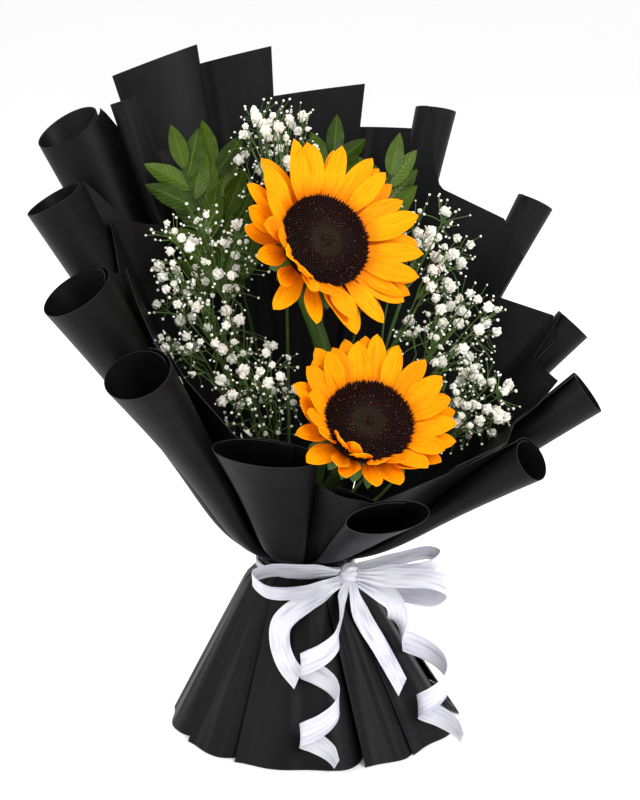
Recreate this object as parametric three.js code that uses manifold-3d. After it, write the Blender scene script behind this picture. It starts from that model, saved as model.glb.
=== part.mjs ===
// A hand-tied bunch of two sunflowers with baby's breath and green sprigs, in a rolled and pleated
// paper wrap that flares into a skirt below the tie, with a satin ribbon bow round the neck.
// It stands on the hem of the skirt and on the cut ends of its stems.
//
// Units are millimetres and +Z is up. The bunch faces -Y. Everything is laid out from the neck, the
// narrow place where the bunch is tied, whose axis is X = 0, Y = 0 until the last lines move the
// whole bunch so that the middle of its footprint is the origin.
import * as THREE from "three";
import { mergeVertices } from "three/addons/utils/BufferGeometryUtils.js";
import Module from "manifold-3d";

const wasm = await Module();
wasm.setup();

// ---------- driving dimensions ----------
const CLEARANCE = 0.6; // gap left between pieces that lie on each other
const EASE = 0.2; // extra room round layers that bend

const NECK_Z = 128; // height of the tie above the table
const NECK_HALF = 5; // half the height of the straight, tied part
const STEMS_R = 21; // radius of the tied bundle of stems
const TWINE_R = 1.6; // radius of the tie's cord

const PAPER = 0.8; // thickness of a sheet of wrap
const LINER_ROOM = 3; // between the tie and the sheets' inner layer
const LINER_R = STEMS_R + 2 * TWINE_R + LINER_ROOM; // where that layer passes the neck
const ROLL_SQUASH = 2; // half the thickness of a roll pressed flat at the neck
const ROLL_R = LINER_R + ROLL_SQUASH + PAPER + 2 * CLEARANCE; // middle of the flattened rolls
const COLLAR_R = ROLL_R + ROLL_SQUASH + PAPER + CLEARANCE + EASE; // top of the skirt, round the rolls

const HEM_R = 106; // radius of the skirt's hem on the table
const SHOULDER_Z = 113; // height at which the skirt has swelled out below the tie
const SHOULDER_R = 45; // its radius there
const HEM_SHIFT = 7; // the skirt spreads this much more to the right
const SKIRT_LAP = 2.2; // how far an overlapping skirt panel stands off the one under it

const BAND_T = 0.9; // thickness of the ribbon
const RIBBON_W = 16; // width of the ribbon
const GATHER = 0.4; // how much of its width is left where it is gathered at the knot
const BAND_H = 7; // height of the gathered ribbon round the neck
const BAND_R = COLLAR_R + SKIRT_LAP + PAPER + CLEARANCE + EASE; // inside of the ribbon round the neck
const BOW_AZIMUTH = 314; // where the knot sits, seen from above, with the front at 270

const KNOT_R = 8; // radius of the knot
const CURL_R = 14; // radius of the curled ribbon tails

const STEM_SPLAY = 1.5; // how much wider the stems stand at the table than at the neck

// ---------- finishes: colour and roughness ----------
const FINISH = {
  paper: [0x222224, 0.75],
  ribbon: [0xe9e8f4, 0.35],
  petal: [0xffa800, 0.6],
  disc: [0x2a0f08, 0.9],
  green: [0x4f7a22, 0.7],
  leaf: [0x2f6a1e, 0.6],
  bloom: [0xf4f2ea, 0.8],
  twine: [0xc8b48a, 0.9],
};

// ---------- small helpers ----------
const { degToRad: rad, lerp, clamp } = THREE.MathUtils;
const vec = (x, y, z) => new THREE.Vector3(x, y, z);
const bouquet = new THREE.Group();

function add(name, finish, geometry, parent = bouquet) {
  const [color, roughness] = FINISH[finish];
  const material = new THREE.MeshStandardMaterial({ color, roughness, metalness: 0 });
  const mesh = new THREE.Mesh(geometry, material);
  mesh.name = name;
  parent.add(mesh);
  return mesh;
}

// A profile of [radius, height] pairs turned round the Z axis.
const turned = (profile, segments) =>
  new THREE.LatheGeometry(profile.map((point) => new THREE.Vector2(...point)), segments).rotateX(Math.PI / 2);

// A point at an azimuth and radius round the neck's axis, at height z.
const around = (azimuth, radius, z) =>
  vec(Math.cos(rad(azimuth)) * radius, Math.sin(rad(azimuth)) * radius, z);

// A point `length` from the middle of the neck, leaning by `lean` degrees towards `azimuth`.
const reach = ({ azimuth, lean, length }) =>
  around(azimuth, Math.sin(rad(lean)) * length, NECK_Z + Math.cos(rad(lean)) * length);

// A point `rise` above the middle of the neck.
const aboveNeck = (x, y, rise) => vec(x, y, NECK_Z + rise);

// A closed thin body that follows surface(u, v) over the unit square, `thickness` thick about it.
// With round true the surface joins itself at u = 0 and u = 1.
function shell(surface, nu, nv, thickness, round = false) {
  const step = 1e-3;
  const columns = round ? nu : nu + 1;
  const positions = [];
  for (const side of [-0.5, 0.5])
    for (let i = 0; i < columns; i++)
      for (let j = 0; j <= nv; j++) {
        const [u, v] = [i / nu, j / nv];
        const [u0, u1] = round ? [u - step, u + step] : [Math.max(0, u - step), Math.min(1, u + step)];
        const [v0, v1] = [Math.max(0, v - step), Math.min(1, v + step)];
        const along = surface(u1, v).sub(surface(u0, v));
        const across = surface(u, v1).sub(surface(u, v0));
        const normal = along.cross(across).normalize();
        positions.push(...surface(u, v).addScaledVector(normal, side * thickness).toArray());
      }
  const at = (side, i, j) => side * columns * (nv + 1) + (i % columns) * (nv + 1) + j;
  const index = [];
  const quad = (a, b, c, d) => index.push(a, b, c, a, c, d);
  for (let i = 0; i < nu; i++)
    for (let j = 0; j < nv; j++) {
      quad(at(1, i, j), at(1, i + 1, j), at(1, i + 1, j + 1), at(1, i, j + 1));
      quad(at(0, i, j), at(0, i, j + 1), at(0, i + 1, j + 1), at(0, i + 1, j));
    }
  for (let i = 0; i < nu; i++) {
    quad(at(0, i, 0), at(0, i + 1, 0), at(1, i + 1, 0), at(1, i, 0));
    quad(at(0, i + 1, nv), at(0, i, nv), at(1, i, nv), at(1, i + 1, nv));
  }
  if (!round)
    for (let j = 0; j < nv; j++) {
      quad(at(0, 0, j + 1), at(0, 0, j), at(1, 0, j), at(1, 0, j + 1));
      quad(at(0, nu, j), at(0, nu, j + 1), at(1, nu, j + 1), at(1, nu, j));
    }
  return new THREE.BufferGeometry()
    .setAttribute("position", new THREE.Float32BufferAttribute(positions, 3))
    .setIndex(index);
}

// A round rod of `radius` along a smooth curve through the points.
function rod(points, radius, sides, steps) {
  const outline = new THREE.Shape();
  for (let k = 0; k < sides; k++) {
    const angle = (k / sides) * 2 * Math.PI;
    const [x, y] = [Math.cos(angle) * radius, Math.sin(angle) * radius];
    if (k === 0) outline.moveTo(x, y);
    else outline.lineTo(x, y);
  }
  outline.closePath();
  const extrudePath = new THREE.CatmullRomCurve3(points, false, "centripetal");
  return new THREE.ExtrudeGeometry(outline, { extrudePath, steps });
}

function solidOf(geometry) {
  const bare = (geometry.index ? geometry.toNonIndexed() : geometry.clone())
    .deleteAttribute("normal")
    .deleteAttribute("uv");
  const merged = mergeVertices(bare, 1e-4);
  return new wasm.Manifold(
    new wasm.Mesh({
      numProp: 3,
      vertProperties: merged.attributes.position.array,
      triVerts: new Uint32Array(merged.index.array),
    }),
  );
}

// Several closed geometries joined into one.
function join(geometries) {
  const mesh = geometries
    .map(solidOf)
    .reduce((whole, piece) => whole.add(piece))
    .getMesh();
  return new THREE.BufferGeometry()
    .setAttribute("position", new THREE.BufferAttribute(mesh.vertProperties, mesh.numProp))
    .setIndex(new THREE.BufferAttribute(mesh.triVerts, 1));
}

// ---------- stems ----------
// A stem stands upright on the table, runs in to its place in the tied bundle, then goes on to
// `upper`. `azimuth` and `radius` give that place.
function stemPath(azimuth, radius, upper) {
  const foot = radius * STEM_SPLAY;
  return [
    around(azimuth, foot, 0),
    around(azimuth, foot, 14),
    around(azimuth, foot, 28),
    around(azimuth, radius * 1.06, NECK_Z - 26),
    around(azimuth, radius, NECK_Z),
    around(azimuth, radius * 1.12, NECK_Z + 26),
    ...upper,
  ];
}

// ---------- sunflowers ----------
const RAY_ROOT = 0.76; // the petals' roots, as a share of the disc's radius
const PETAL_BEND = 2.5; // how far past the disc the petals start to rise
const LAYER = 1.5; // height between one ring of a flower head and the next

const HEADS = [
  {
    name: "upper",
    centre: aboveNeck(14, -58, 258),
    facing: vec(0.43, -0.76, 0.48),
    discR: 33.5,
    petalL: 38,
    cup: 14,
    stem: { azimuth: 75, radius: 8, r: 6, via: [aboveNeck(10, 2, 77), aboveNeck(18, -2, 142)] },
  },
  {
    name: "lower",
    centre: aboveNeck(45, -104, 137),
    facing: vec(0.17, -0.7, 0.69),
    discR: 32,
    petalL: 28,
    cup: 32,
    stem: { azimuth: 265, radius: 9, r: 5.5, via: [aboveNeck(8, -30, 50)] },
  },
];
const RAYS = 16; // petals in each ring
const BRACTS = 12; // in their one ring
const BRACT_REACH = 10; // how far the bracts stand out past the disc
const BRACT_CUP = -8; // they bend back by this many degrees
const RECEPTACLE_H = 17; // height of the green bowl under the disc

// A ring of joined petals or bracts. It runs flat under the disc to `bend`, then each lobe rises at
// `cup` degrees and ends in a rounded tip; `phase` turns the ring by a share of one lobe.
function lobedRing({ inner, bend, outer, cup, lobes, phase, z, samples, notch }) {
  const slope = Math.tan(rad(cup));
  const surface = (u, v) => {
    const lobe = Math.abs(Math.cos(((u + phase / lobes) * lobes - 0.5) * Math.PI)) ** 0.7;
    const tip = outer * (1 - notch * (1 - lobe));
    const r = v < 0.5 ? inner + (bend - inner) * v * 2 : bend + (tip - bend) * (v * 2 - 1);
    const angle = u * 2 * Math.PI;
    return vec(Math.cos(angle) * r, Math.sin(angle) * r, z + Math.max(0, r - bend) * slope);
  };
  return shell(surface, lobes * samples, 2, PAPER, true);
}

function sunflower({ name, centre, facing, discR, petalL, cup, stem }) {
  const head = new THREE.Group();
  head.position.copy(centre);
  head.quaternion.setFromUnitVectors(vec(0, 0, 1), facing.normalize());
  bouquet.add(head);

  const dome = [
    [0, 0],
    [discR, 0],
    [discR + 0.4, 2],
    [discR * 0.9, 4.5],
    [discR * 0.62, 5.5],
    [discR * 0.35, 4],
    [0, 3],
  ];
  add(`${name}_flower_disc`, "disc", turned(dome, 24), head);

  const rim = discR + PETAL_BEND;
  const petals = { inner: discR * RAY_ROOT, bend: rim, lobes: RAYS, samples: 4, notch: 0.3 };
  const innerRing = { ...petals, outer: rim + petalL * 0.93, cup: cup + 8, phase: 0, z: -LAYER };
  const outerRing = { ...petals, outer: rim + petalL, cup, phase: 0.5, z: -2 * LAYER };
  add(`${name}_inner_petals`, "petal", lobedRing(innerRing), head);
  add(`${name}_outer_petals`, "petal", lobedRing(outerRing), head);
  const bracts = {
    inner: discR * RAY_ROOT - 2, bend: discR - 4, outer: discR + BRACT_REACH, cup: BRACT_CUP,
    lobes: BRACTS, samples: 3, notch: 0.34, phase: 0.2, z: -3 * LAYER,
  };
  add(`${name}_bracts`, "green", lobedRing(bracts), head);

  const top = -4 * LAYER;
  const bowl = [
    [0, top - RECEPTACLE_H],
    [stem.r + 3, top - RECEPTACLE_H],
    [discR * 0.62, top - RECEPTACLE_H * 0.5],
    [discR * 0.8, top - 3],
    [discR * 0.8, top],
    [0, top],
  ];
  add(`${name}_receptacle`, "green", turned(bowl, 20), head);

  const base = RECEPTACLE_H - top + CLEARANCE;
  const behind = (distance) => centre.clone().addScaledVector(facing, -distance);
  const upper = [...stem.via, behind(base + 24), behind(base + 12), behind(base)];
  add(`${name}_flower_stem`, "green", rod(stemPath(stem.azimuth, stem.radius, upper), stem.r, 8, 20));
}
HEADS.forEach(sunflower);

// ---------- baby's breath ----------
const SPRAY_R = 1.5; // radius of a main stem
const SPRAY_SLOT_R = 15.6; // how far from the neck's axis the sprays are tied
const TWIG_R = 0.7; // radius of the branches
const BLOOM_R = 5; // radius of a bloom
const BLOOMS = 6; // in each spray
const GOLDEN_ANGLE = rad(137.5); // turn from one bloom to the next
const BRANCHING = 0.58; // where a spray starts to branch, as a share of its length
const SPRAYS = [
  { name: "back_left", azimuth: 125, lean: 7, length: 335, spread: 24, slot: 135 },
  { name: "upper_left", azimuth: 200, lean: 18, length: 280, spread: 30, slot: 178 },
  { name: "middle_left", azimuth: 208, lean: 24, length: 235, spread: 28, slot: 200 },
  { name: "lower_left", azimuth: 240, lean: 24, length: 185, spread: 24, slot: 225 },
  { name: "upper_right", azimuth: 8, lean: 21, length: 280, spread: 26, slot: 20 },
  { name: "middle_right", azimuth: 352, lean: 31, length: 240, spread: 26, slot: 355 },
  { name: "lower_right", azimuth: 342, lean: 44, length: 205, spread: 22, slot: 330 },
];

function spray({ name, azimuth, lean, length, spread, slot }) {
  const tip = reach({ azimuth, lean, length });
  const fork = reach({ azimuth, lean, length: length * BRANCHING });
  const axis = tip.clone().sub(fork).normalize();
  const side = vec(0, 0, 1).cross(axis).normalize();
  const over = axis.clone().cross(side);
  const low = fork.clone().lerp(around(slot, SPRAY_SLOT_R, NECK_Z), 0.4);
  const stem = stemPath(slot, SPRAY_SLOT_R, [low, fork]);
  const pieces = [rod(stem, SPRAY_R, 5, 10)];
  for (let k = 0; k < BLOOMS; k++) {
    const angle = k * GOLDEN_ANGLE;
    const radius = spread * Math.sqrt(k / (BLOOMS - 1));
    const end = tip
      .clone()
      .addScaledVector(side, Math.cos(angle) * radius)
      .addScaledVector(over, Math.sin(angle) * radius)
      .addScaledVector(axis, -radius * 0.5);
    const start = fork.clone().addScaledVector(axis, -1 - k * 0.5);
    pieces.push(rod([start, end], TWIG_R, 3, 1));
    pieces.push(new THREE.OctahedronGeometry(BLOOM_R, 0).translate(end.x, end.y, end.z));
  }
  add(`babys_breath_${name}`, "bloom", join(pieces));
}
SPRAYS.forEach(spray);

// ---------- green sprigs ----------
const LEAF_L = 52; // length of a leaf
const LEAF_W = 22; // its width
const LEAF_T = 0.9; // its thickness
const LEAF_PITCH = 24; // along the sprig from one leaf to the next
const LEAF_TURN = rad(38); // between a side leaf and the sprig
const SPRIG_R = 1.7; // radius of a sprig's stem
const SPRIG_ROOM = 1.2; // between the sprigs' stems and the inside of the tie
const SPRIG_SLOT_R = STEMS_R - SPRIG_R - SPRIG_ROOM; // how far from the neck's axis the sprigs are tied
const SPRIGS = [
  { name: "far_left", azimuth: 174, lean: 16.5, length: 312, slot: 160, leaves: 5 },
  { name: "left", azimuth: 150, lean: 15, length: 306, slot: 118, leaves: 4 },
  { name: "right", azimuth: 68, lean: 11, length: 306, slot: 66, leaves: 4 },
  { name: "far_right", azimuth: 27, lean: 14, length: 298, slot: 42, leaves: 4 },
];

// A pointed oval leaf from `start` along `way`, bowed along its length, facing `face`.
function leaf(start, way, face) {
  const across = face.clone().cross(way).normalize();
  const up = way.clone().cross(across).normalize();
  const surface = (u, v) => {
    const half = (LEAF_W / 2) * Math.sin(Math.PI * (0.06 + 0.9 * u) ** 0.8) + 0.4;
    const w = (v - 0.5) * 2;
    return start
      .clone()
      .addScaledVector(way, u * LEAF_L)
      .addScaledVector(across, w * half)
      .addScaledVector(up, 4 * Math.sin(Math.PI * u) - 2.5 * Math.abs(w) ** 2);
  };
  return shell(surface, 4, 2, LEAF_T);
}

function sprig({ name, azimuth, lean, length, slot, leaves }) {
  const tip = reach({ azimuth, lean, length });
  const low = reach({ azimuth, lean, length: length * 0.45 });
  const axis = tip.clone().sub(low).normalize();
  const side = vec(0, 1, 0).cross(axis).normalize();
  const face = axis.clone().cross(side).normalize();
  const stem = stemPath(slot, SPRIG_SLOT_R, [low, low.clone().lerp(tip, 0.5), tip]);
  const pieces = [rod(stem, SPRIG_R, 5, 10)];
  for (let k = 0; k < leaves; k++) {
    const start = tip.clone().addScaledVector(axis, -k * LEAF_PITCH);
    const turn = k === 0 ? 0 : LEAF_TURN * (k % 2 ? 1 : -1);
    const way = axis.clone().applyAxisAngle(face, turn);
    pieces.push(leaf(start.addScaledVector(way, -1), way, face));
  }
  add(`green_sprig_${name}`, "leaf", join(pieces));
}
SPRIGS.forEach(sprig);

// ---------- stem tie ----------
const TIE_H = 9; // height of the turns of cord
const TIE_SIDES = 6;
const tieProfile = [];
for (let k = 0; k <= TIE_SIDES; k++) {
  const angle = (k / TIE_SIDES) * 2 * Math.PI;
  const r = STEMS_R + CLEARANCE + TWINE_R * (1 + Math.cos(angle));
  tieProfile.push([r, (Math.sin(angle) * TIE_H) / 2]);
}
add("stem_tie", "twine", turned(tieProfile, 20).translate(0, 0, NECK_Z));

// ---------- wrap ----------
// The sheets go round the neck in this order. Each has a roll, and a flat part that leaves the roll on
// its inner side and runs inside the next sheet's roll. `neck` and `neckHalf` place the roll in the
// neck in degrees. Azimuth, lean and length reach the middle of its mouth, whose half sizes are `wide`
// and `deep`. `slant` is how much its cut edge climbs towards the next sheet, and `turn` turns it about
// its axis. `flat` holds where the flat part's top edge leaves the roll and where it meets the next
// one, as shares of their lengths.
const SHEETS = [
  {
    name: "back_right_roll", neck: 40, neckHalf: 8, azimuth: 44, lean: 23, length: 356,
    wide: 17, deep: 15, slant: 0.1, flat: [0.85, 0.93],
  },
  {
    name: "right_roll_1", neck: 19, neckHalf: 8, azimuth: 19, lean: 35, length: 321,
    wide: 17, deep: 14, slant: 0.1, flat: [0.75, 0.98],
  },
  {
    name: "right_roll_2", neck: 0, neckHalf: 8, azimuth: 3, lean: 48, length: 269,
    wide: 17, deep: 15, slant: 0.1, flat: [0.85, 0.95],
  },
  {
    name: "right_roll_3", neck: 341, neckHalf: 8, azimuth: 349, lean: 56, length: 253,
    wide: 20, deep: 18, slant: 0.1, flat: [0.8, 0.95],
  },
  {
    name: "front_right_roll", neck: 320, neckHalf: 9, azimuth: 328, lean: 60, length: 218,
    wide: 18, deep: 17, slant: 0, flat: [0.85, 0.95],
  },
  {
    name: "front_fold", neck: 290, neckHalf: 13, azimuth: 294, lean: 62, length: 161,
    wide: 35, deep: 12, slant: 0, flat: [0.9, 0.8],
  },
  {
    name: "front_left_fold", neck: 255, neckHalf: 13, azimuth: 257, lean: 46, length: 174,
    wide: 40, deep: 12, slant: 0.1, flat: [0.82, 0.85],
  },
  {
    name: "left_roll_1", neck: 228, neckHalf: 8, azimuth: 225, lean: 43, length: 241,
    wide: 31, deep: 24, slant: 0, flat: [0.88, 0.88],
  },
  {
    name: "left_roll_2", neck: 208, neckHalf: 7, azimuth: 203, lean: 38.2, length: 285,
    wide: 34, deep: 27, slant: 0, flat: [0.9, 0.9],
  },
  {
    name: "left_roll_3", neck: 190, neckHalf: 7, azimuth: 184, lean: 33, length: 334,
    wide: 31, deep: 23, slant: 0, flat: [0.9, 0.72],
  },
  {
    name: "left_roll_4", neck: 173, neckHalf: 6, azimuth: 163, lean: 22.3, length: 371,
    wide: 12, deep: 10, slant: 0, flat: [0.68, 0.75],
  },
  {
    name: "back_left_roll", neck: 143, neckHalf: 7, azimuth: 140, lean: 22, length: 395,
    wide: 37, deep: 8, slant: 0.14, turn: -35,
  },
  {
    name: "left_roll_5", neck: 158, neckHalf: 6, azimuth: 165, lean: 30, length: 371,
    wide: 21, deep: 22, slant: 0.45,
  },
];
const LOOP_SHARE = 0.6; // share of a sheet's width that is rolled up
const LOOP_TURN = 318; // degrees that the paper turns in a roll
const LOOP_TIGHTENS = 0.14; // how much smaller the roll's free end is
const LAYER_GAP = 2.2; // room between a flat part and the roll that it runs inside
const NECK_TOP = NECK_Z + NECK_HALF;
const NECK_FOOT = NECK_Z - NECK_HALF;

// The mouth's directions: along the roll, across it anticlockwise seen from above, and outward.
function mouthFrame(sheet) {
  const centre = reach(sheet);
  const along = centre.clone().sub(around(sheet.neck, ROLL_R, NECK_TOP)).normalize();
  const across = vec(0, 0, 1).cross(along).normalize().applyAxisAngle(along, rad(sheet.turn ?? 0));
  const out = across.clone().cross(along);
  return { centre, along, across, out };
}

// A point of the mouth's edge: angle 0 is across and 90 is outward.
function mouthPoint(sheet, angle, shrink = 1) {
  const { centre, along, across, out } = mouthFrame(sheet);
  const [c, s] = [Math.cos(rad(angle)) * shrink, Math.sin(rad(angle)) * shrink];
  return centre
    .addScaledVector(across, c * sheet.wide)
    .addScaledVector(out, s * sheet.deep)
    .addScaledVector(along, -c * sheet.wide * sheet.slant);
}

// A sheet runs straight up through the neck in its lower half of v, then straight out to its rim.
function fibre(neck, rim, v) {
  if (v < 0.5) return neck.clone().setZ(NECK_FOOT + (NECK_TOP - NECK_FOOT) * v * 2);
  return neck.clone().lerp(rim, v * 2 - 1);
}

function wrapSheet(sheet, i) {
  const next = SHEETS[i + 1];
  const [leave, meet] = sheet.flat ?? [];
  const flatShare = sheet.flat ? 1 - LOOP_SHARE : 0;
  const surface = (u, v) => {
    if (u >= flatShare) {
      const w = (u - flatShare) / (1 - flatShare);
      const angle = -90 + LOOP_TURN * w;
      const shrink = 1 - LOOP_TIGHTENS * w;
      const r = ROLL_R + Math.sin(rad(angle)) * ROLL_SQUASH * shrink;
      const azimuth = sheet.neck + Math.cos(rad(angle)) * sheet.neckHalf * shrink;
      return fibre(around(azimuth, r, NECK_TOP), mouthPoint(sheet, angle, shrink), v);
    }
    const w = 1 - u / flatShare;
    const settle = Math.min(1, w * 3);
    const { along } = mouthFrame(sheet);
    const start = mouthPoint(sheet, -90).addScaledVector(along, -sheet.length * (1 - leave) * settle);
    const inward = mouthFrame(next).out.multiplyScalar(-next.deep - LAYER_GAP);
    const end = reach({ ...next, length: next.length * meet }).add(inward);
    const room = (sheet.neck - next.neck + 360) % 360;
    const r = lerp(ROLL_R - ROLL_SQUASH, LINER_R, settle);
    const neck = around(sheet.neck - (room - 2) * w, r, NECK_TOP);
    return fibre(neck, start.lerp(end, w), v);
  };
  add(`wrap_${sheet.name}`, "paper", shell(surface, 18, 2, PAPER));
}
SHEETS.forEach(wrapSheet);

// The flat panels at the back stand one behind another. `corners` are the ends of the top edge.
const PANELS = [
  {
    name: "left", neck: [132, 106], layer: -1,
    corners: [aboveNeck(-98, 115, 356), aboveNeck(-26, 108, 375)],
  },
  {
    name: "middle", neck: [114, 78], layer: 0,
    corners: [aboveNeck(-44, 118, 332), aboveNeck(46, 116, 345)],
  },
  {
    name: "right", neck: [84, 52], layer: 1,
    corners: [aboveNeck(24, 124, 310), aboveNeck(88, 116, 310)],
  },
];
const PANEL_BOW = 4; // how far a panel's middle stands back
for (const { name, neck, layer, corners } of PANELS) {
  const surface = (u, v) => {
    const azimuth = lerp(...neck, u);
    const rim = corners[0].clone().lerp(corners[1], u);
    rim.y += PANEL_BOW * Math.sin(Math.PI * u);
    return fibre(around(azimuth, ROLL_R + layer * 2 * PAPER, NECK_TOP), rim, v);
  };
  add(`wrap_back_panel_${name}`, "paper", shell(surface, 6, 2, PAPER));
}

// ---------- skirt ----------
// `from` and `to` are azimuths at the hem. A panel whose `lap` is 1 lies over its neighbours.
const SKIRT = [
  { name: "front", from: 238, to: 297, lap: 1 },
  { name: "front_right", from: 293, to: 320, lap: 0 },
  { name: "right", from: 316, to: 363, lap: 1 },
  { name: "back_right", from: -1, to: 62, lap: 0 },
  { name: "back", from: 58, to: 124, lap: 1 },
  { name: "back_left", from: 120, to: 184, lap: 0 },
  { name: "left", from: 180, to: 216, lap: 1 },
  { name: "front_left", from: 212, to: 242, lap: 0 },
];

// A point of the skirt `off` outside its inner layer.
function onSkirt(azimuth, z, off) {
  const swell = clamp((NECK_FOOT - z) / (NECK_FOOT - SHOULDER_Z), 0, 1);
  const fall = clamp((SHOULDER_Z - z) / SHOULDER_Z, 0, 1);
  const r = lerp(lerp(COLLAR_R, SHOULDER_R, swell), HEM_R, fall) + off;
  return around(azimuth, r, z).add(vec(HEM_SHIFT * fall, 0, 0));
}

const SKIRT_ROWS = [NECK_Z + 4, NECK_FOOT, SHOULDER_Z, PAPER / 2]; // heights of its folds
for (const { name, from, to, lap } of SKIRT) {
  const surface = (u, v) => {
    const row = Math.min(SKIRT_ROWS.length - 2, Math.floor(v * 3));
    const z = lerp(SKIRT_ROWS[row], SKIRT_ROWS[row + 1], v * 3 - row);
    return onSkirt(lerp(from, to, u), z, SKIRT_LAP * lap);
  };
  add(`skirt_${name}`, "paper", shell(surface, 5, 3, PAPER));
}

// ---------- ribbon ----------
const BAND_Z = NECK_FOOT + CLEARANCE;
const bandProfile = [
  [BAND_R, BAND_Z],
  [BAND_R + BAND_T, BAND_Z],
  [BAND_R + BAND_T, BAND_Z + BAND_H],
  [BAND_R, BAND_Z + BAND_H],
  [BAND_R, BAND_Z],
];
add("ribbon_band", "ribbon", turned(bandProfile, 28));

const knotAt = around(BOW_AZIMUTH, BAND_R + BAND_T + KNOT_R + CLEARANCE, NECK_Z - 1);
const fromKnot = (x, y, z) => vec(x, y, z).add(knotAt);
add("ribbon_knot", "ribbon", new THREE.SphereGeometry(KNOT_R, 10, 7)).position.copy(knotAt);

// A strip of ribbon along the points, gathered in where it leaves the knot. `faces` holds the way the
// ribbon faces at each point; without it the ribbon stands upright on its edge.
function strip(name, points, steps, faces) {
  const curve = new THREE.CatmullRomCurve3(points, false, "centripetal");
  const facing = faces && new THREE.CatmullRomCurve3(faces, false, "centripetal");
  const surface = (u, v) => {
    const along = curve.getTangent(u);
    const across = faces ? facing.getPoint(u).cross(along).normalize()
      : vec(0, 0, 1).addScaledVector(along, -along.z).normalize();
    const end = faces ? u : Math.min(u, 1 - u);
    const width = RIBBON_W * Math.min(1, GATHER + 4 * end);
    return curve.getPoint(u).addScaledVector(across, (v - 0.5) * width);
  };
  add(name, "ribbon", shell(surface, steps, 1, BAND_T));
}

// The bow's loops, as points from the middle of the knot out round the loop and back.
const LOOPS = {
  left: [
    [-10, -6, 5], [-34, -20, 7], [-60, -28, 9], [-70, -34, 6],
    [-62, -41, 0], [-36, -33, -5], [-10, -14, -1],
  ],
  right_upper: [
    [10, 4, 4], [34, 8, 8], [60, 12, 13], [68, 8, 11],
    [60, 0, 6], [34, -1, 3], [11, -2, 2],
  ],
  right_lower: [
    [12, -9, 0], [36, -13, 0], [62, -12, -3], [72, -4, -12],
    [63, 8, -22], [38, 12, -18], [14, 4, -9],
  ],
};
for (const [name, points] of Object.entries(LOOPS))
  strip(`ribbon_loop_${name}`, points.map((p) => fromKnot(...p)), 16);

// A tail of ribbon. Each stop is a point with the way the ribbon faces there.
const tail = (name, stops, steps) =>
  strip(`ribbon_tail_${name}`, stops.map(([point]) => point), steps, stops.map(([, face]) => face));

const offKnot = (x, y, z) => [fromKnot(x, y, z), around(BOW_AZIMUTH, 1, 0)];
const down = (azimuth, z, off) => [onSkirt(azimuth, z, off), around(azimuth, 1, 0)];

// Stops of a curl of `turns` about a line from `top` to `foot`, clockwise seen from above.
function curl(top, foot, first, turns) {
  const stops = [];
  const count = Math.round(turns * 8);
  for (let k = 0; k <= count; k++) {
    const face = around(first - (360 * turns * k) / count, 1, 0);
    stops.push([top.clone().lerp(foot, k / count).addScaledVector(face, CURL_R), face]);
  }
  return stops;
}
const CURL_ROOM = 6; // between the skirt and a curl
const CURL_OFF = CURL_R + SKIRT_LAP + BAND_T + CURL_ROOM; // from the skirt's inner layer to its axis
const FOOT_Z = RIBBON_W / 2 + 0.5; // lowest that the middle of an upright ribbon can be

tail("left", [
  offKnot(-9, -8, -9),
  down(270, 112, 12),
  down(254, 98, 12),
  down(253, 84, 9),
  down(258, 72, 7),
], 12);
tail("front_curl", [
  offKnot(-6, -9, -13),
  ...curl(onSkirt(278, 98, CURL_OFF), onSkirt(272, FOOT_Z, CURL_OFF), 10, 2),
], 34);
tail("straight", [
  offKnot(2, -5, -15),
  down(313, 98, 7),
  down(318, 74, 6),
  down(321, 52, 5),
  down(322, 40, 5),
], 10);
tail("right_curl", [
  offKnot(10, -6, -11),
  offKnot(32, -2, -22),
  ...curl(onSkirt(341, 72, CURL_OFF), onSkirt(322, FOOT_Z, CURL_OFF), 180, 1.5),
], 28);

// ---------- origin: the middle of the footprint, on the table ----------
const box = new THREE.Box3().setFromObject(bouquet);
const middle = box.getCenter(vec(0, 0, 0));
bouquet.position.set(-middle.x, -middle.y, -box.min.z);
bouquet.updateMatrixWorld(true);

export default bouquet;
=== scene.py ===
"""Looks of a hand-tied bunch of two sunflowers with baby's breath and green sprigs, in a rolled and
pleated paper wrap with a satin bow.

The script is laid out as an add-on. Each kind of piece has its settings, an operator that makes it
and a button in the sidebar. Shapes are worked out in millimetres from the neck, the narrow place
where the bunch is tied, whose axis is X = 0, Y = 0. They are put into the CAD frame, in metres, when
a mesh is made. The bunch faces -Y and stands on Z = 0.
"""

from collections import namedtuple

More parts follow.
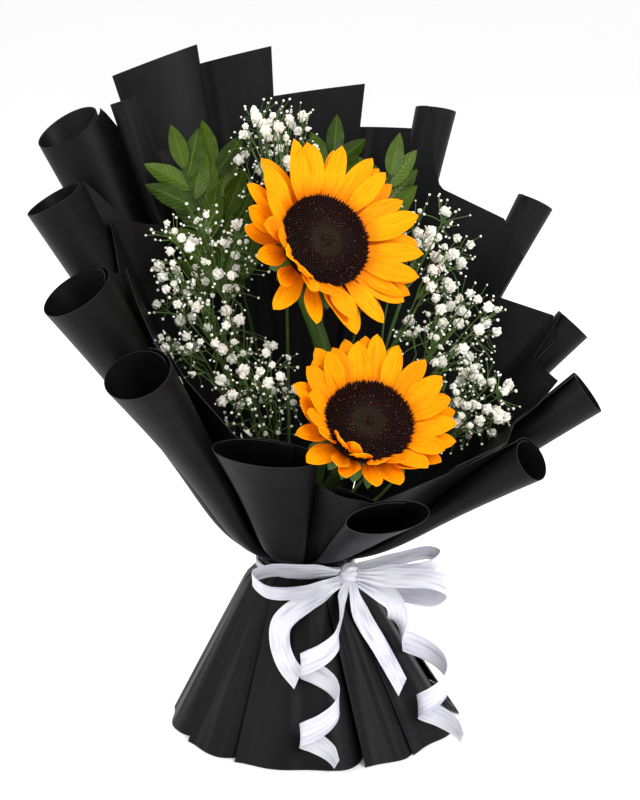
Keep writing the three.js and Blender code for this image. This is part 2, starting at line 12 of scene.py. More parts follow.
import bpy
import numpy as np
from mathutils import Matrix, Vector


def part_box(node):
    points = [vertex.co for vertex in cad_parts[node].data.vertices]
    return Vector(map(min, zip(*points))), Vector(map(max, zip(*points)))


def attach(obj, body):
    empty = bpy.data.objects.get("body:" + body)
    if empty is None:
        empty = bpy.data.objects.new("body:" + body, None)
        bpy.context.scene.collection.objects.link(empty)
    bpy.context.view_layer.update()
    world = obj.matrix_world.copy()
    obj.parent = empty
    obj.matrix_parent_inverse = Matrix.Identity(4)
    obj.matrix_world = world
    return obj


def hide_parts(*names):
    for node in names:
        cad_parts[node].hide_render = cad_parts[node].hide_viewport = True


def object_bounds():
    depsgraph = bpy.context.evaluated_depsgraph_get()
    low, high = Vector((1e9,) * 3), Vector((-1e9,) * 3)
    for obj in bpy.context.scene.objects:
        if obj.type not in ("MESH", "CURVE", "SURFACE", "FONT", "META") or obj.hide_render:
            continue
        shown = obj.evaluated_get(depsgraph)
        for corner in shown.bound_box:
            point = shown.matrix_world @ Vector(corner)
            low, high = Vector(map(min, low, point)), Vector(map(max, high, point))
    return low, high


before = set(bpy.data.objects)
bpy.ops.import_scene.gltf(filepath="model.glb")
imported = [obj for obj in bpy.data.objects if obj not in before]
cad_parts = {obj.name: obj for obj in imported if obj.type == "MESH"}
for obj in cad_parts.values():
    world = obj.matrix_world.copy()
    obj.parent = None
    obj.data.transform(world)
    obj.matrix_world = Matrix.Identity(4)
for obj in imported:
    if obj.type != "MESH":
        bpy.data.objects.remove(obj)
cad_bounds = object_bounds()

bl_info = {
    "name": "Bunch of sunflowers",
    "version": (1, 0, 0),
    "blender": (4, 5, 0),
    "location": "View3D > Sidebar > Bunch",
    "description": "Makes a wrapped and tied bunch of sunflowers round its CAD frame",
    "category": "Add Mesh",
}

# ---------- places taken from the CAD frame, in millimetres from the neck's axis ----------
MM = 0.001
tie_low, tie_high = (np.array(corner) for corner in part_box("stem_tie"))
NECK = np.array([*((tie_low + tie_high) / 2)[:2], 0.0])
NECK_Z = (tie_low + tie_high)[2] / 2 / MM
NECK_HALF = 5.0  # half the height of the straight, tied part
NECK_TOP = NECK_Z + NECK_HALF
NECK_FOOT = NECK_Z - NECK_HALF
UP = np.array([0.0, 0.0, 1.0])
GOLDEN_ANGLE = 137.508  # degrees from one floret, bloom, branch or bud to the next


def box_mm(node):
    """A node's lowest and highest corners, in millimetres from the neck's axis."""
    return [(np.array(corner) - NECK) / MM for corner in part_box(node)]


KNOT = sum(box_mm("ribbon_knot")) / 2

# ---------- arithmetic on arrays of points ----------


def unit(vectors):
    """The vectors divided by their lengths."""
    return vectors / np.maximum(np.linalg.norm(vectors, axis=-1, keepdims=True), 1e-12)


def smooth(x):
    """Goes from 0 to 1 as x does, level at both ends: 3x^2 - 2x^3."""
    x = np.clip(x, 0.0, 1.0)
    return x * x * (3.0 - 2.0 * x)


def mix(a, b, share):
    """a where share is 0, b where it is 1, and in between on a straight line."""
    return a + (b - a) * share


def around(azimuth, radius, z):
    """Points at azimuths in degrees and radii round the neck's axis: (r cos a, r sin a, z)."""
    angle = np.radians(azimuth)
    flat = np.broadcast_arrays(np.cos(angle) * radius, np.sin(angle) * radius, np.asarray(z, float))
    return np.stack(flat, -1)


def reach(azimuth, lean, length):
    """A point `length` from the middle of the neck, leaning by `lean` degrees towards an azimuth."""
    tilt = np.radians(lean)
    return around(azimuth, np.sin(tilt) * length, NECK_Z + np.cos(tilt) * length)


def turned_about(vectors, axis, degrees):
    """Vectors turned about a unit axis: v cos a + (k x v) sin a + k (k . v)(1 - cos a)."""
    angle = np.radians(degrees)
    along = (vectors * axis).sum(-1, keepdims=True)
    return (vectors * np.cos(angle) + np.cross(axis, vectors) * np.sin(angle)
            + axis * along * (1.0 - np.cos(angle)))


def curve(points, count):
    """A smooth line of `count` evenly spaced points through the given ones. Each stretch blends the
    straight lines through four neighbours, timed by the square roots of their distances."""
    p = np.asarray(points, float)
    p = np.vstack([2 * p[0] - p[1], p, 2 * p[-1] - p[-2]])
    gaps = np.sqrt(np.linalg.norm(np.diff(p, axis=0), axis=1))
    t = np.concatenate([[0.0], np.cumsum(gaps)])
    a, b, c, d = (p[k:len(p) - 3 + k, None] for k in range(4))
    ta, tb, tc, td = (t[k:len(t) - 3 + k, None, None] for k in range(4))
    s = tb + (tc - tb) * np.linspace(0, 1, 24)[None, :, None]

    def between(low, high, t_low, t_high):
        return (low * (t_high - s) + high * (s - t_low)) / (t_high - t_low)

    ab, bc, cd = between(a, b, ta, tb), between(b, c, tb, tc), between(c, d, tc, td)
    line = between(between(ab, bc, ta, tc), between(bc, cd, tb, td), tb, tc).reshape(-1, 3)
    return along_line(line, np.linspace(0, 1, count))


def line_length(line):
    """The length of a line of points."""
    return np.linalg.norm(np.diff(line, axis=0), axis=1).sum()


def along_line(line, shares):
    """The points of a line at the given shares of its length."""
    steps = np.linalg.norm(np.diff(line, axis=0), axis=1)
    place = np.concatenate([[0.0], np.cumsum(steps)]) / steps.sum()
    return np.stack([np.interp(shares, place, line[:, k]) for k in range(3)], -1)


# ---------- meshes ----------
# degrees between two faces beyond which the edge between them looks sharp
CRISP_PAPER, CRISP, CRISP_FLORET = 50.0, 60.0, 70.0


class Pile:
    """Gathers shapes into one mesh. Each has points, faces, a UV per point and one tone."""

    def __init__(self):
        self.points, self.uvs, self.tones, self.faces, self.edges = [], [], [], [], []
        self.count = 0

    def add(self, points, faces, uv=None, tone=0.5):
        """`faces` is one array or several, each with as many columns as its faces have corners."""
        points = points.reshape(-1, 3)
        self.points.append(points)
        self.uvs.append(np.zeros((len(points), 2)) if uv is None else uv.reshape(-1, 2))
        self.tones.append(np.broadcast_to(np.asarray(tone, float).reshape(-1), (len(points),)))
        for part in faces if isinstance(faces, list) else [faces]:
            self.faces.append(part + self.count)
            self.edges.append(np.zeros(len(part)))
        self.count += len(points)

    def shell(self, grid, thickness, uv, tone=0.5):
        """A closed thin body: a grid of points moved half the thickness each way along its normals,
        with a strip of faces round its rim."""
        rows, columns = grid.shape[:2]
        normal = unit(np.cross(np.gradient(grid, axis=0), np.gradient(grid, axis=1)))
        sides = np.stack([grid + normal * thickness / 2, grid - normal * thickness / 2])
        top = np.arange(rows * columns).reshape(rows, columns)
        under = top + rows * columns
        rim = np.concatenate([top[:, 0], top[-1, 1:], top[-2::-1, -1], top[0, -2::-1]])
        low = rim + rows * columns
        walls = np.stack([rim[1:], rim[:-1], low[:-1], low[1:]], -1)
        start = self.count
        self.add(sides, [quads(top), quads(under)[:, ::-1]], np.stack([uv, uv]), tone)
        self.faces.append(walls + start)
        self.edges.append(np.ones(len(walls)))

    def made(self, name, finish, slot, replaces=(), sharp=CRISP_PAPER):
        """The mesh as an object in the CAD frame, riding on the frame's one body."""
        points = np.concatenate(self.points) * MM + NECK
        sizes = np.concatenate([np.full(len(f), f.shape[1]) for f in self.faces])
        corners = np.concatenate([f.ravel() for f in self.faces])
        mesh = bpy.data.meshes.new(name)
        mesh.vertices.add(len(points))
        mesh.vertices.foreach_set("co", points.astype(np.float32).ravel())
        mesh.loops.add(len(corners))
        mesh.loops.foreach_set("vertex_index", corners.astype(np.int32))
        mesh.polygons.add(len(sizes))
        mesh.polygons.foreach_set("loop_start", (np.cumsum(sizes) - sizes).astype(np.int32))
        mesh.polygons.foreach_set("use_smooth", np.full(len(sizes), sharp > 0))
        mesh.update(calc_edges=True)
        layer = mesh.uv_layers.new(name="UVMap")
        layer.data.foreach_set("uv", np.concatenate(self.uvs)[corners].astype(np.float32).ravel())
        tone = mesh.attributes.new("tone", "FLOAT", "POINT")
        tone.data.foreach_set("value", np.concatenate(self.tones).astype(np.float32))
        edge = mesh.attributes.new("edge", "FLOAT", "FACE")
        edge.data.foreach_set("value", np.concatenate(self.edges).astype(np.float32))
        if sharp > 0:
            mesh.set_sharp_from_angle(angle=np.radians(sharp))
        mesh.materials.append(finish)
        piece = bpy.data.objects.new(name, mesh)
        bpy.context.scene.collection.objects.link(piece)
        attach(piece, "root")
        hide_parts(*replaces)
        return piece


def quads(index):
    """The quads of a grid of point numbers, each turning from its rows towards its columns."""
    return np.stack([index[:-1, :-1], index[1:, :-1], index[1:, 1:], index[:-1, 1:]], -1).reshape(-1, 4)


def grid_uv(rows, columns):
    """UVs of a grid: U along the rows' direction and V across, both from 0 to 1."""
    return np.stack(np.meshgrid(np.linspace(0, 1, rows), np.linspace(0, 1, columns), indexing="ij"), -1)


def tubes(pile, lines, radii, sides, tone=0.5):
    """Round rods along many lines at once: round each point of a line stands a ring of `sides`
    points at that point's radius, square to the line. `lines` is (rods, points, 3)."""
    rods, steps = lines.shape[:2]
    ahead = unit(np.gradient(lines, axis=1))
    lie = np.abs(ahead).mean(1).argmin(-1)
    spare = np.eye(3)[lie][:, None]
    first = unit(np.cross(ahead, spare))
    second = np.cross(ahead, first)
    angle = np.linspace(0, 2 * np.pi, sides, endpoint=False)[:, None]
    ring = first[:, :, None] * np.cos(angle) + second[:, :, None] * np.sin(angle)
    points = lines[:, :, None] + ring * np.broadcast_to(radii, (rods, steps))[:, :, None, None]
    index = np.arange(rods * steps * sides).reshape(rods, steps, sides)
    index = np.concatenate([index, index[:, :, :1]], 2)
    walls = np.stack([index[:, :-1, :-1], index[:, :-1, 1:], index[:, 1:, 1:], index[:, 1:, :-1]], -1)
    caps = [index[:, 0, sides - 1::-1], index[:, -1, :sides]]
    uv = np.broadcast_to(grid_uv(steps, sides), (rods, steps, sides, 2))
    tones = np.broadcast_to(np.asarray(tone, float).reshape(-1, 1, 1), (rods, steps, sides))
    pile.add(points, [walls.reshape(-1, 4), *caps], uv, tones)


def copies(pile, template, faces, centres, sizes, turns, tones, uv=None):
    """One small closed shape repeated: each copy is the template sized, turned and moved."""
    points = np.einsum("nij,mj->nmi", turns, template) * np.reshape(sizes, (-1, 1, 1)) + centres[:, None]
    count, corners = points.shape[:2]
    shift = (np.arange(count) * corners)[:, None, None]
    all_faces = [(part[None] + shift).reshape(-1, part.shape[1]) for part in faces]
    uvs = None if uv is None else np.broadcast_to(uv, (count, corners, 2))
    pile.add(points, all_faces, uvs, np.repeat(tones, corners))


def round_shape(profile, sides, phase=0.0, frill=0.0):
    """A closed shape of rings between two poles: points (r cos a, r sin a, z). `profile` has [radius,
    height] pairs, the first and last on the axis. Each ring is turned by `phase` from the one before,
    and `frill` pushes every other point of it in and out, in turn from ring to ring."""
    profile = np.asarray(profile, float)
    rings = profile[1:-1]
    ring = np.arange(len(rings))[:, None]
    angle = np.linspace(0, 2 * np.pi, sides, endpoint=False)[None] + phase * ring
    wave = 1 + frill * np.where((np.arange(sides)[None] + ring) % 2, 1, -1)
    radius = rings[:, :1] * wave
    body = np.stack([np.cos(angle) * radius, np.sin(angle) * radius, rings[:, 1:] * wave], -1)
    poles = [[0, 0, profile[0, 1]], [0, 0, profile[-1, 1]]]
    points = np.vstack([body.reshape(-1, 3), poles])
    index = np.arange(len(rings) * sides).reshape(-1, sides)
    index = np.concatenate([index, index[:, :1]], 1)
    foot, top = len(points) - 2, len(points) - 1
    first = np.stack([index[0, 1:], index[0, :-1], np.full(sides, foot)], -1)
    last = np.stack([index[-1, :-1], index[-1, 1:], np.full(sides, top)], -1)
    return points, [quads(index)[:, ::-1], first, last]


def random_turns(rng, count):
    """Rotation matrices drawn evenly, from unit quaternions."""
    w, x, y, z = unit(rng.normal(size=(count, 4))).T
    return np.stack([
        np.stack([1 - 2 * (y * y + z * z), 2 * (x * y - w * z), 2 * (x * z + w * y)], -1),
        np.stack([2 * (x * y + w * z), 1 - 2 * (x * x + z * z), 2 * (y * z - w * x)], -1),
        np.stack([2 * (x * z - w * y), 2 * (y * z + w * x), 1 - 2 * (x * x + y * y)], -1),
    ], -2)


# ---------- finishes ----------


class Wire:
    """A node's output socket that sums can be written with."""

    def __init__(self, paint, socket):
        self.paint, self.socket = paint, socket

    def maths(self, operation, *values):
        return self.paint.node("ShaderNodeMath", {"operation": operation}, dict(enumerate(values)))

    def __add__(self, other):
        return self.maths("ADD", self, other)

    def __sub__(self, other):
        return self.maths("SUBTRACT", self, other)

    def __rsub__(self, other):
        return self.maths("SUBTRACT", other, self)

    def __mul__(self, other):
        return self.maths("MULTIPLY", self, other)

    def step(self, low, high):
        """Goes smoothly from 0 at `low` to 1 at `high`."""
        sockets = {0: self, 1: low, 2: high}
        return self.paint.node("ShaderNodeMapRange", {"interpolation_type": "SMOOTHSTEP"}, sockets)

    __radd__ = __add__
    __rmul__ = __mul__


class Paint:
    """A material with one Principled shader, and the ways to add nodes to it."""

    def __init__(self, name, **constants):
        self.material = bpy.data.materials.new(name)
        self.material.use_nodes = True
        self.tree = self.material.node_tree
        self.shader = self.tree.nodes["Principled BSDF"]
        for key, value in constants.items():
            self.shader.inputs[key.replace("_", " ")].default_value = value

    def join(self, value, socket):
        """Links a wire to a socket, or sets the socket to a plain value."""
        if isinstance(value, Wire):
            self.tree.links.new(value.socket, socket)
        else:
            socket.default_value = value

    def node(self, kind, settings=None, sockets=None, output=0):
        """A new node of any kind. Its settings are set first, then its sockets by name or number."""
        made = self.tree.nodes.new(kind)
        for key, value in (settings or {}).items():
            setattr(made, key, value)
        for key, value in (sockets or {}).items():
            self.join(value, made.inputs[key])
        return Wire(self, made.outputs[output])

    def blend(self, a, b, factor, kind="MIX"):
        """Two colours mixed by a factor."""
        settings = {"data_type": "RGBA", "blend_type": kind}
        return self.node("ShaderNodeMix", settings, {0: factor, 6: a, 7: b}, 2)

    def attribute(self, name):
        """A number that the mesh carries under a name."""
        return self.node("ShaderNodeAttribute", {"attribute_name": name}, output="Fac")

    def place(self):
        """The place on the piece, in metres."""
        return self.node("ShaderNodeTexCoord", output="Object")

    def uv(self):
        """The two UV coordinates as separate numbers."""
        both = self.node("ShaderNodeTexCoord", output="UV")
        split = self.node("ShaderNodeSeparateXYZ", sockets={0: both})
        return split, Wire(self, split.socket.node.outputs[1])

    def noise(self, scale, detail=3.0, roughness=0.5, vector=None):
        """Soft noise over the piece, or over the given coordinates, `scale` to the metre."""
        sockets = {"Scale": scale, "Detail": detail, "Roughness": roughness}
        sockets["Vector"] = vector or self.place()
        return self.node("ShaderNodeTexNoise", None, sockets)

    def relief(self, *heights):
        """Bump nodes in a row: each height is (wire, strength, distance)."""
        normal = None
        for wire, strength, distance in heights:
            sockets = {"Strength": strength, "Distance": distance, "Height": wire}
            if normal:
                sockets["Normal"] = normal
            normal = self.node("ShaderNodeBump", None, sockets)
        self.join(normal, self.shader.inputs["Normal"])

    def finished(self, colour, roughness=None):
        """The material, with its colour and roughness joined."""
        self.join(colour, self.shader.inputs["Base Color"])
        if roughness is not None:
            self.join(roughness, self.shader.inputs["Roughness"])
        return self.material


def shade(colour, amount):
    """A colour made darker or lighter by a factor, with full alpha."""
    return (*(min(1.0, channel * amount) for channel in colour[:3]), 1.0)


def paper_finish(name, settings):
    """Black wrapping paper: cloudy colour, a fine grain, soft creases, and a painted highlight along the
    cut edges.
    """
    paint = Paint(name, Specular_IOR_Level=0.12)
    clouds = paint.noise(14.0, 4.0, 0.6)
    grain = paint.noise(1400.0, 2.0)
    colour = settings.colour
    base = paint.blend(shade(colour, 0.5), shade(colour, 1.5), clouds.step(0.3, 0.7))
    base = paint.blend(base, shade(colour, 1.7), grain.step(0.45, 0.8) * 0.35)
    # the rim faces get a paler colour: a painted highlight where light catches the cut edges
    base = paint.blend(base, (*settings.edge_highlight_colour, 1.0), paint.attribute("edge"))
    along, across = paint.uv()
    drawn = paint.node("ShaderNodeCombineXYZ", None, {0: along * 6.0, 1: across * 2.0})
    creases = paint.noise(1.0, 0.0, 0.5, drawn)
    paint.relief((creases, 0.35, 0.008), (paint.noise(40.0, 2.0, 0.5), 0.2, 0.002), (grain, 0.1, 0.0002))
    return paint.finished(base, 0.4 + clouds * 0.16)


def satin_finish(settings):
    """White satin: fine ribs across the ribbon, and soft clouds of painted lilac shade."""
    paint = Paint("satin ribbon", Roughness=0.3, Specular_IOR_Level=0.6, Sheen_Weight=0.25)
    along, across = paint.uv()
    drawn = paint.node("ShaderNodeCombineXYZ", None, {0: along * 3.0, 1: across * 3.0})
    clouds = paint.noise(1.6, 1.0, 0.4, drawn)
    ribs = paint.node("ShaderNodeMath", {"operation": "SINE"}, {0: along * 1500.0})
    # the lilac is painted shade, laid in soft clouds over the white satin
    base = paint.blend((*settings.colour, 1.0), (*settings.painted_shade_colour, 1.0), clouds.step(0.42, 0.8))
    paint.relief((clouds, 0.08, 0.001), (ribs, 0.02, 0.0001))
    return paint.finished(base, 0.24 + clouds * 0.16)


def petal_finish(settings):
    """Ray petals: deep orange at the root, golden beyond, with fine veins from root to tip."""
    paint = Paint("petals", Specular_IOR_Level=0.08, Subsurface_Weight=0.1, Subsurface_Scale=0.003)
    along, across = paint.uv()
    tone = paint.attribute("tone")
    lines = paint.node("ShaderNodeCombineXYZ", None, {0: along * 2.2, 1: across * 15.0, 2: tone * 40.0})
    veins = paint.noise(1.0, 2.0, 0.5, lines)
    clouds = paint.noise(120.0, 3.0)
    base = paint.blend((*settings.root_colour, 1.0), (*settings.tip_colour, 1.0),
                       (along + clouds * 0.22).step(0.12, 0.62))
    base = paint.blend(base, shade(settings.root_colour, 1.05), veins.step(0.48, 0.75) * 0.5)
    base = paint.blend(base, shade(settings.root_colour, 0.9), tone.step(0.55, 1.0) * 0.35)
    paint.relief((veins, 0.6, 0.0012), (clouds, 0.1, 0.0004))
    return paint.finished(base, 0.5 + veins * 0.2)


def disc_finish(settings):
    """Florets: near-black maroon with paler tips, olive in the middle of the disc."""
    paint = Paint("seed disc", Specular_IOR_Level=0.12)
    along, middle = paint.uv()
    tone = paint.attribute("tone")
    dark = (*settings.disc_colour, 1.0)
    base = paint.blend(shade(settings.disc_colour, 0.35), dark, along)
    pollen = tone.step(0.8, 1.0) * along.step(0.7, 1.0)
    base = paint.blend(base, (*settings.tip_speck_colour, 1.0), pollen)
    base = paint.blend(base, (*settings.disc_middle_colour, 1.0), middle * (0.4 + along * 0.5))
    paint.relief((paint.noise(2500.0), 0.3, 0.0002))
    return paint.finished(base, 0.55 + tone * 0.3)


def green_finish(name, colour, pale, ribs):
    """Green skin with lengthwise ribs and pale patches, as on stems and bracts."""
    paint = Paint(name, Roughness=0.5, Specular_IOR_Level=0.35)
    along, across = paint.uv()
    lines = paint.node("ShaderNodeCombineXYZ", None, {0: along * 3.0, 1: across * ribs})
    ribbing = paint.noise(1.0, 3.0, 0.6, lines)
    clouds = paint.noise(90.0, 4.0, 0.6)
    base = paint.blend(shade(colour, 0.7), shade(colour, 1.2), clouds.step(0.3, 0.7))
    base = paint.blend(base, (*pale, 1.0), ribbing.step(0.45, 0.8) * 0.45)
    paint.relief((ribbing, 0.35, 0.0005), (paint.noise(2200.0), 0.15, 0.0001))
    return paint.finished(base, 0.45 + clouds * 0.2)


def leaf_finish(settings):
    """Leaves: a pale midrib, slanting side veins and darker blades between them."""
    paint = Paint("foliage", Specular_IOR_Level=0.2)
    along, across = paint.uv()
    out = paint.node("ShaderNodeMath", {"operation": "ABSOLUTE"}, {0: across * 2.0 - 1.0})
    wave = paint.node("ShaderNodeMath", {"operation": "SINE"}, {0: (along * 9.0 - out * 2.2) * 6.2832})
    clouds = paint.noise(70.0, 4.0, 0.6)
    tone = paint.attribute("tone")
    base = paint.blend(shade(settings.colour, 0.65), shade(settings.colour, 1.25), clouds.step(0.3, 0.7))
    base = paint.blend(base, (*settings.pale_colour, 1.0), wave.step(0.82, 1.0) * 0.18)
    base = paint.blend(base, (*settings.pale_colour, 1.0), (1.0 - out).step(0.88, 0.98) * 0.6)
    base = paint.blend(base, (*settings.pale_colour, 1.0), tone * 0.6)
    paint.relief((wave, 0.25, 0.0004), (clouds, 0.2, 0.0006))
    return paint.finished(base, 0.3 + clouds * 0.25)


def bloom_finish(settings):
    """Small white blooms: painted shade, with a cream tint, in their folds; some of them blushed."""
    paint = Paint("small blooms", Roughness=0.8, Specular_IOR_Level=0.2, Subsurface_Weight=0.1,
                  Subsurface_Scale=0.002)
    tone = paint.attribute("tone")
    out, _ = paint.uv()
    frill = paint.noise(900.0, 2.0)
    proud = (out + frill * 0.6).step(0.3, 0.9)
    # the folds get painted shade with a cream tint, and the crests keep the blooms' colour
    base = paint.blend((*settings.fold_shade_colour, 1.0), (*settings.colour, 1.0), proud)
    base = paint.blend(base, (*settings.blush_colour, 1.0), tone.step(0.72, 1.0) * 0.55)
    paint.relief((frill, 0.6, 0.0005))
    return paint.finished(base)


def twine_finish(settings):
    """Twine: strands that slant round the cord, with pale and dark fibres."""
    paint = Paint("twine", Roughness=0.9, Specular_IOR_Level=0.2)
    along, across = paint.uv()
    lay = paint.node("ShaderNodeMath", {"operation": "SINE"}, {0: along * 900.0 + across * 12.566})
    fibres = paint.noise(1800.0, 3.0)
    base = paint.blend(shade(settings.colour, 0.5), (*settings.colour, 1.0), lay * 0.35 + fibres * 0.6)
    paint.relief((lay, 0.6, 0.0004), (fibres, 0.3, 0.0002))
    return paint.finished(base)


# ---------- settings ----------


def length_setting(name, description, default):
    return bpy.props.FloatProperty(name=name, description=description, default=default, min=0.0,
                                   unit="LENGTH", precision=4)


def colour_setting(name, description, default):
    return bpy.props.FloatVectorProperty(name=name, description=description, default=default, size=3,
                                         subtype="COLOR", min=0.0, max=1.0)


def count_setting(name, description, default):
    return bpy.props.IntProperty(name=name, description=description, default=default, min=1)


class WrapSettings(bpy.types.PropertyGroup):
    thickness: length_setting("Thickness", "Thickness of the wrapping paper", 0.0005)
    bulge: length_setting("Bulge", "How far the paper swells out just above the tie", 0.015)
    fold: length_setting("Fold", "Depth of the skirt's folds at its hem", 0.004)
    colour: colour_setting("Colour", "Colour of the paper", (0.0036, 0.0036, 0.0039))
    # painted highlight: the cut edges are made paler, as if light caught them
    edge_highlight_colour: colour_setting("Edge", "Colour of the paper's cut edges", (0.022, 0.022, 0.023))


class RibbonSettings(bpy.types.PropertyGroup):
    width: length_setting("Width", "Width of the ribbon", 0.016)
    thickness: length_setting("Thickness", "Thickness of the ribbon", 0.0004)
    colour: colour_setting("Colour", "Colour of the satin", (0.66, 0.655, 0.71))
    # painted shade: this lilac stands in for the satin's shadows
    painted_shade_colour: colour_setting("Shade", "Colour of the satin in its streaks", (0.4, 0.39, 0.5))


class FlowerSettings(bpy.types.PropertyGroup):
    petals: count_setting("Petals", "Petals in each of a head's two rings", 20)
    florets: count_setting("Florets", "Florets on each disc", 900)
    petal_width: length_setting("Petal width", "Greatest width of a petal", 0.0172)
    tip_colour: colour_setting("Tip", "Colour of the outer petals", (0.92, 0.35, 0.0))
    root_colour: colour_setting("Root", "Colour at the petals' roots", (0.78, 0.14, 0.0))
    disc_colour: colour_setting("Disc", "Colour of the florets", (0.022, 0.004, 0.002))
    disc_middle_colour: colour_setting("Middle", "Colour of the ring near the disc's middle",
                                       (0.035, 0.033, 0.01))
    tip_speck_colour: colour_setting("Specks", "Colour of the pollen on the florets", (0.4, 0.2, 0.13))
    green_colour: colour_setting("Green", "Colour of the stems and bracts", (0.05, 0.11, 0.012))
    pale_colour: colour_setting("Pale green", "Colour of their ribs", (0.16, 0.24, 0.05))


class SpraySettings(bpy.types.PropertyGroup):
    blooms: count_setting("Blooms", "Open blooms in each spray", 36)
    buds: count_setting("Buds", "Small buds in each spray", 150)
    bloom_size: length_setting("Bloom size", "Width of a large bloom", 0.0080)
    colour: colour_setting("Colour", "Colour of the blooms", (0.82, 0.8, 0.72))
    # painted shade, with a cream tint, for the blooms' folds
    fold_shade_colour: colour_setting("Folds", "Colour in the blooms' folds", (0.5, 0.48, 0.35))
    blush_colour: colour_setting("Blush", "Colour of the blushed blooms", (0.85, 0.72, 0.66))
    twig_colour: colour_setting("Twigs", "Colour of the fine stems", (0.07, 0.13, 0.025))


class SprigSettings(bpy.types.PropertyGroup):
    leaves: count_setting("Leaves", "Leaves on each sprig", 13)
    leaf_length: length_setting("Leaf length", "Length of a full-grown leaf", 0.041)
    leaf_width: length_setting("Leaf width", "Width of a full-grown leaf", 0.0165)
    colour: colour_setting("Colour", "Colour of the blades", (0.02, 0.046, 0.0008))
    pale_colour: colour_setting("Ribs", "Colour of the midrib and veins", (0.085, 0.14, 0.008))


class TieSettings(bpy.types.PropertyGroup):
    turns: count_setting("Turns", "Turns of twine round the stems", 4)
    colour: colour_setting("Colour", "Colour of the twine", (0.5, 0.4, 0.25))


class StageSettings(bpy.types.PropertyGroup):
    distance: length_setting("Distance", "From the camera to the bunch", 1.75)
    lens: bpy.props.FloatProperty(name="Lens", description="Focal length", default=105.0, unit="CAMERA")
    elevation: bpy.props.FloatProperty(name="Elevation", description="How far the camera looks down",
                                       default=np.radians(16.0), subtype="ANGLE")
    floor_colour: colour_setting("Floor", "Colour of the floor", (0.96, 0.96, 0.96))


# ---------- wrap ----------
# The sheets go round the neck in this order. `neck` and `half` place the roll in the neck, in degrees.
# Azimuth, lean and length reach the middle of its mouth, whose half sizes are `wide` and `deep`.
# `slant` is how much its cut edge climbs towards the next sheet, and `turn` turns it about its axis.
# `leave` and `meet` are where the top edge of the flat part leaves the roll and meets the next one, as
# shares of their lengths; without them a sheet has no flat part. The last sheet's flat part runs back
# to the one before it. `swell` is a sheet's share of the swelling above the tie.
SHEET_VALUES = "name neck half azimuth lean length wide deep slant leave meet turn swell"
Sheet = namedtuple("Sheet", SHEET_VALUES, defaults=[1.0])
SHEETS = [
    Sheet("back_right_roll", 40, 8, 44, 23, 356, 17, 15, 0.1, 0.85, 0.93, 0),
    Sheet("right_roll_1", 19, 8, 19, 35, 321, 17, 14, 0.1, 0.75, 0.98, 0),
    Sheet("right_roll_2", 0, 8, 3, 48, 269, 17, 15, 0.1, 0.85, 0.95, 0),
    Sheet("right_roll_3", 341, 8, 349, 56, 253, 20, 18, 0.1, 0.8, 0.95, 0),
    Sheet("front_right_roll", 320, 9, 328, 60, 218, 18, 17, 0, 0.85, 0.95, 0),
    Sheet("front_fold", 290, 13, 294, 62, 161, 35, 12, 0, 0.9, 0.8, 0, 0.4),
    Sheet("front_left_fold", 255, 13, 257, 46, 174, 40, 12, 0.1, 0.82, 0.85, 0),
    Sheet("left_roll_1", 228, 8, 225, 43, 241, 31, 24, 0, 0.88, 0.88, 0),
    Sheet("left_roll_2", 208, 7, 203, 38.2, 285, 35, 28, 0, 0.9, 0.9, 0),
    Sheet("left_roll_3", 190, 7, 184, 33, 334, 33, 24, 0, 0.9, 0.72, 0),
    Sheet("left_roll_4", 173, 6, 163, 22.3, 371, 12, 10, 0, 0.68, 0.75, 0),
    Sheet("back_left_roll", 143, 7, 140, 22, 395, 37, 8, 0.14, None, None, -35),
    Sheet("left_roll_5", 158, 6, 165, 29.5, 371, 22, 28, 0.45, 0.9, 0.82, 0),
]
ROLL_R = 31.2  # middle of the rolls where they are pressed flat in the neck
ROLL_SQUASH = 2.0
LINER_R = 28.0  # where the flat parts pass the neck
ROLL_START = -105.0  # where a roll's outer layer starts, in degrees round its mouth
ROLL_TURN = 410.0  # degrees that the paper turns in a roll
ROLL_TIGHTENS = 0.14  # how much smaller the roll's free end is
LAYER_GAP = 1.0  # between a flat part and the roll that it runs inside
RUN_ON = 0.4  # how far a flat part runs on inside the next sheet's, as a share of that one's width
BULGE_AT = (0.12, 0.2)  # where the paper swells most, as a share of its length, at the left and the right
BULGE_RIGHT = 310.0  # azimuth of the sheets that swell highest up


def mouth_frame(sheet):
    """The middle of a roll's mouth and its three directions: along the roll, across and outward."""
    centre = reach(sheet.azimuth, sheet.lean, sheet.length)
    along = unit(centre - around(sheet.neck, ROLL_R, NECK_TOP))
    across = turned_about(unit(np.cross(UP, along)), along, sheet.turn)
    return centre, along, across, np.cross(across, along)


def mouth_points(sheet, angle, shrink=1.0):
    """Points of a mouth's edge, an ellipse: 0 degrees is across and 90 is outward."""
    centre, along, across, out = mouth_frame(sheet)
    c = (np.cos(np.radians(angle)) * shrink * sheet.wide)[..., None]
    s = (np.sin(np.radians(angle)) * shrink * sheet.deep)[..., None]
    return centre + across * c + out * s - along * c * sheet.slant


def swelling(neck, rim, t, bulge):
    """Straight lines from the neck to the rim that swell outward just above the tie. The swelling is
    bulge * (t/a) * exp(1 - t/a), greatest at t = a."""
    straight = mix(neck[:, None], rim[:, None], t[None, :, None])
    outward = unit(neck * [1, 1, 0])[:, None]
    at = mix(*BULGE_AT, smooth(0.5 + 0.5 * outward @ around(BULGE_RIGHT, 1, 0)))
    swell = bulge * (t / at) * np.exp(1 - t / at)
    return straight + outward * swell[..., None]


def paper_rows(neck, rim, bulge):
    """A sheet's grid: it runs straight up through the neck, then out to its rim."""
    foot = neck * [1, 1, 0] + UP * NECK_FOOT
    upright = mix(foot[:, None], neck[:, None], np.linspace(0, 1, 4)[None, :-1, None])
    t = np.linspace(0, 1, 44) ** 1.4
    return np.concatenate([upright, swelling(neck, rim, t, bulge)], 1)


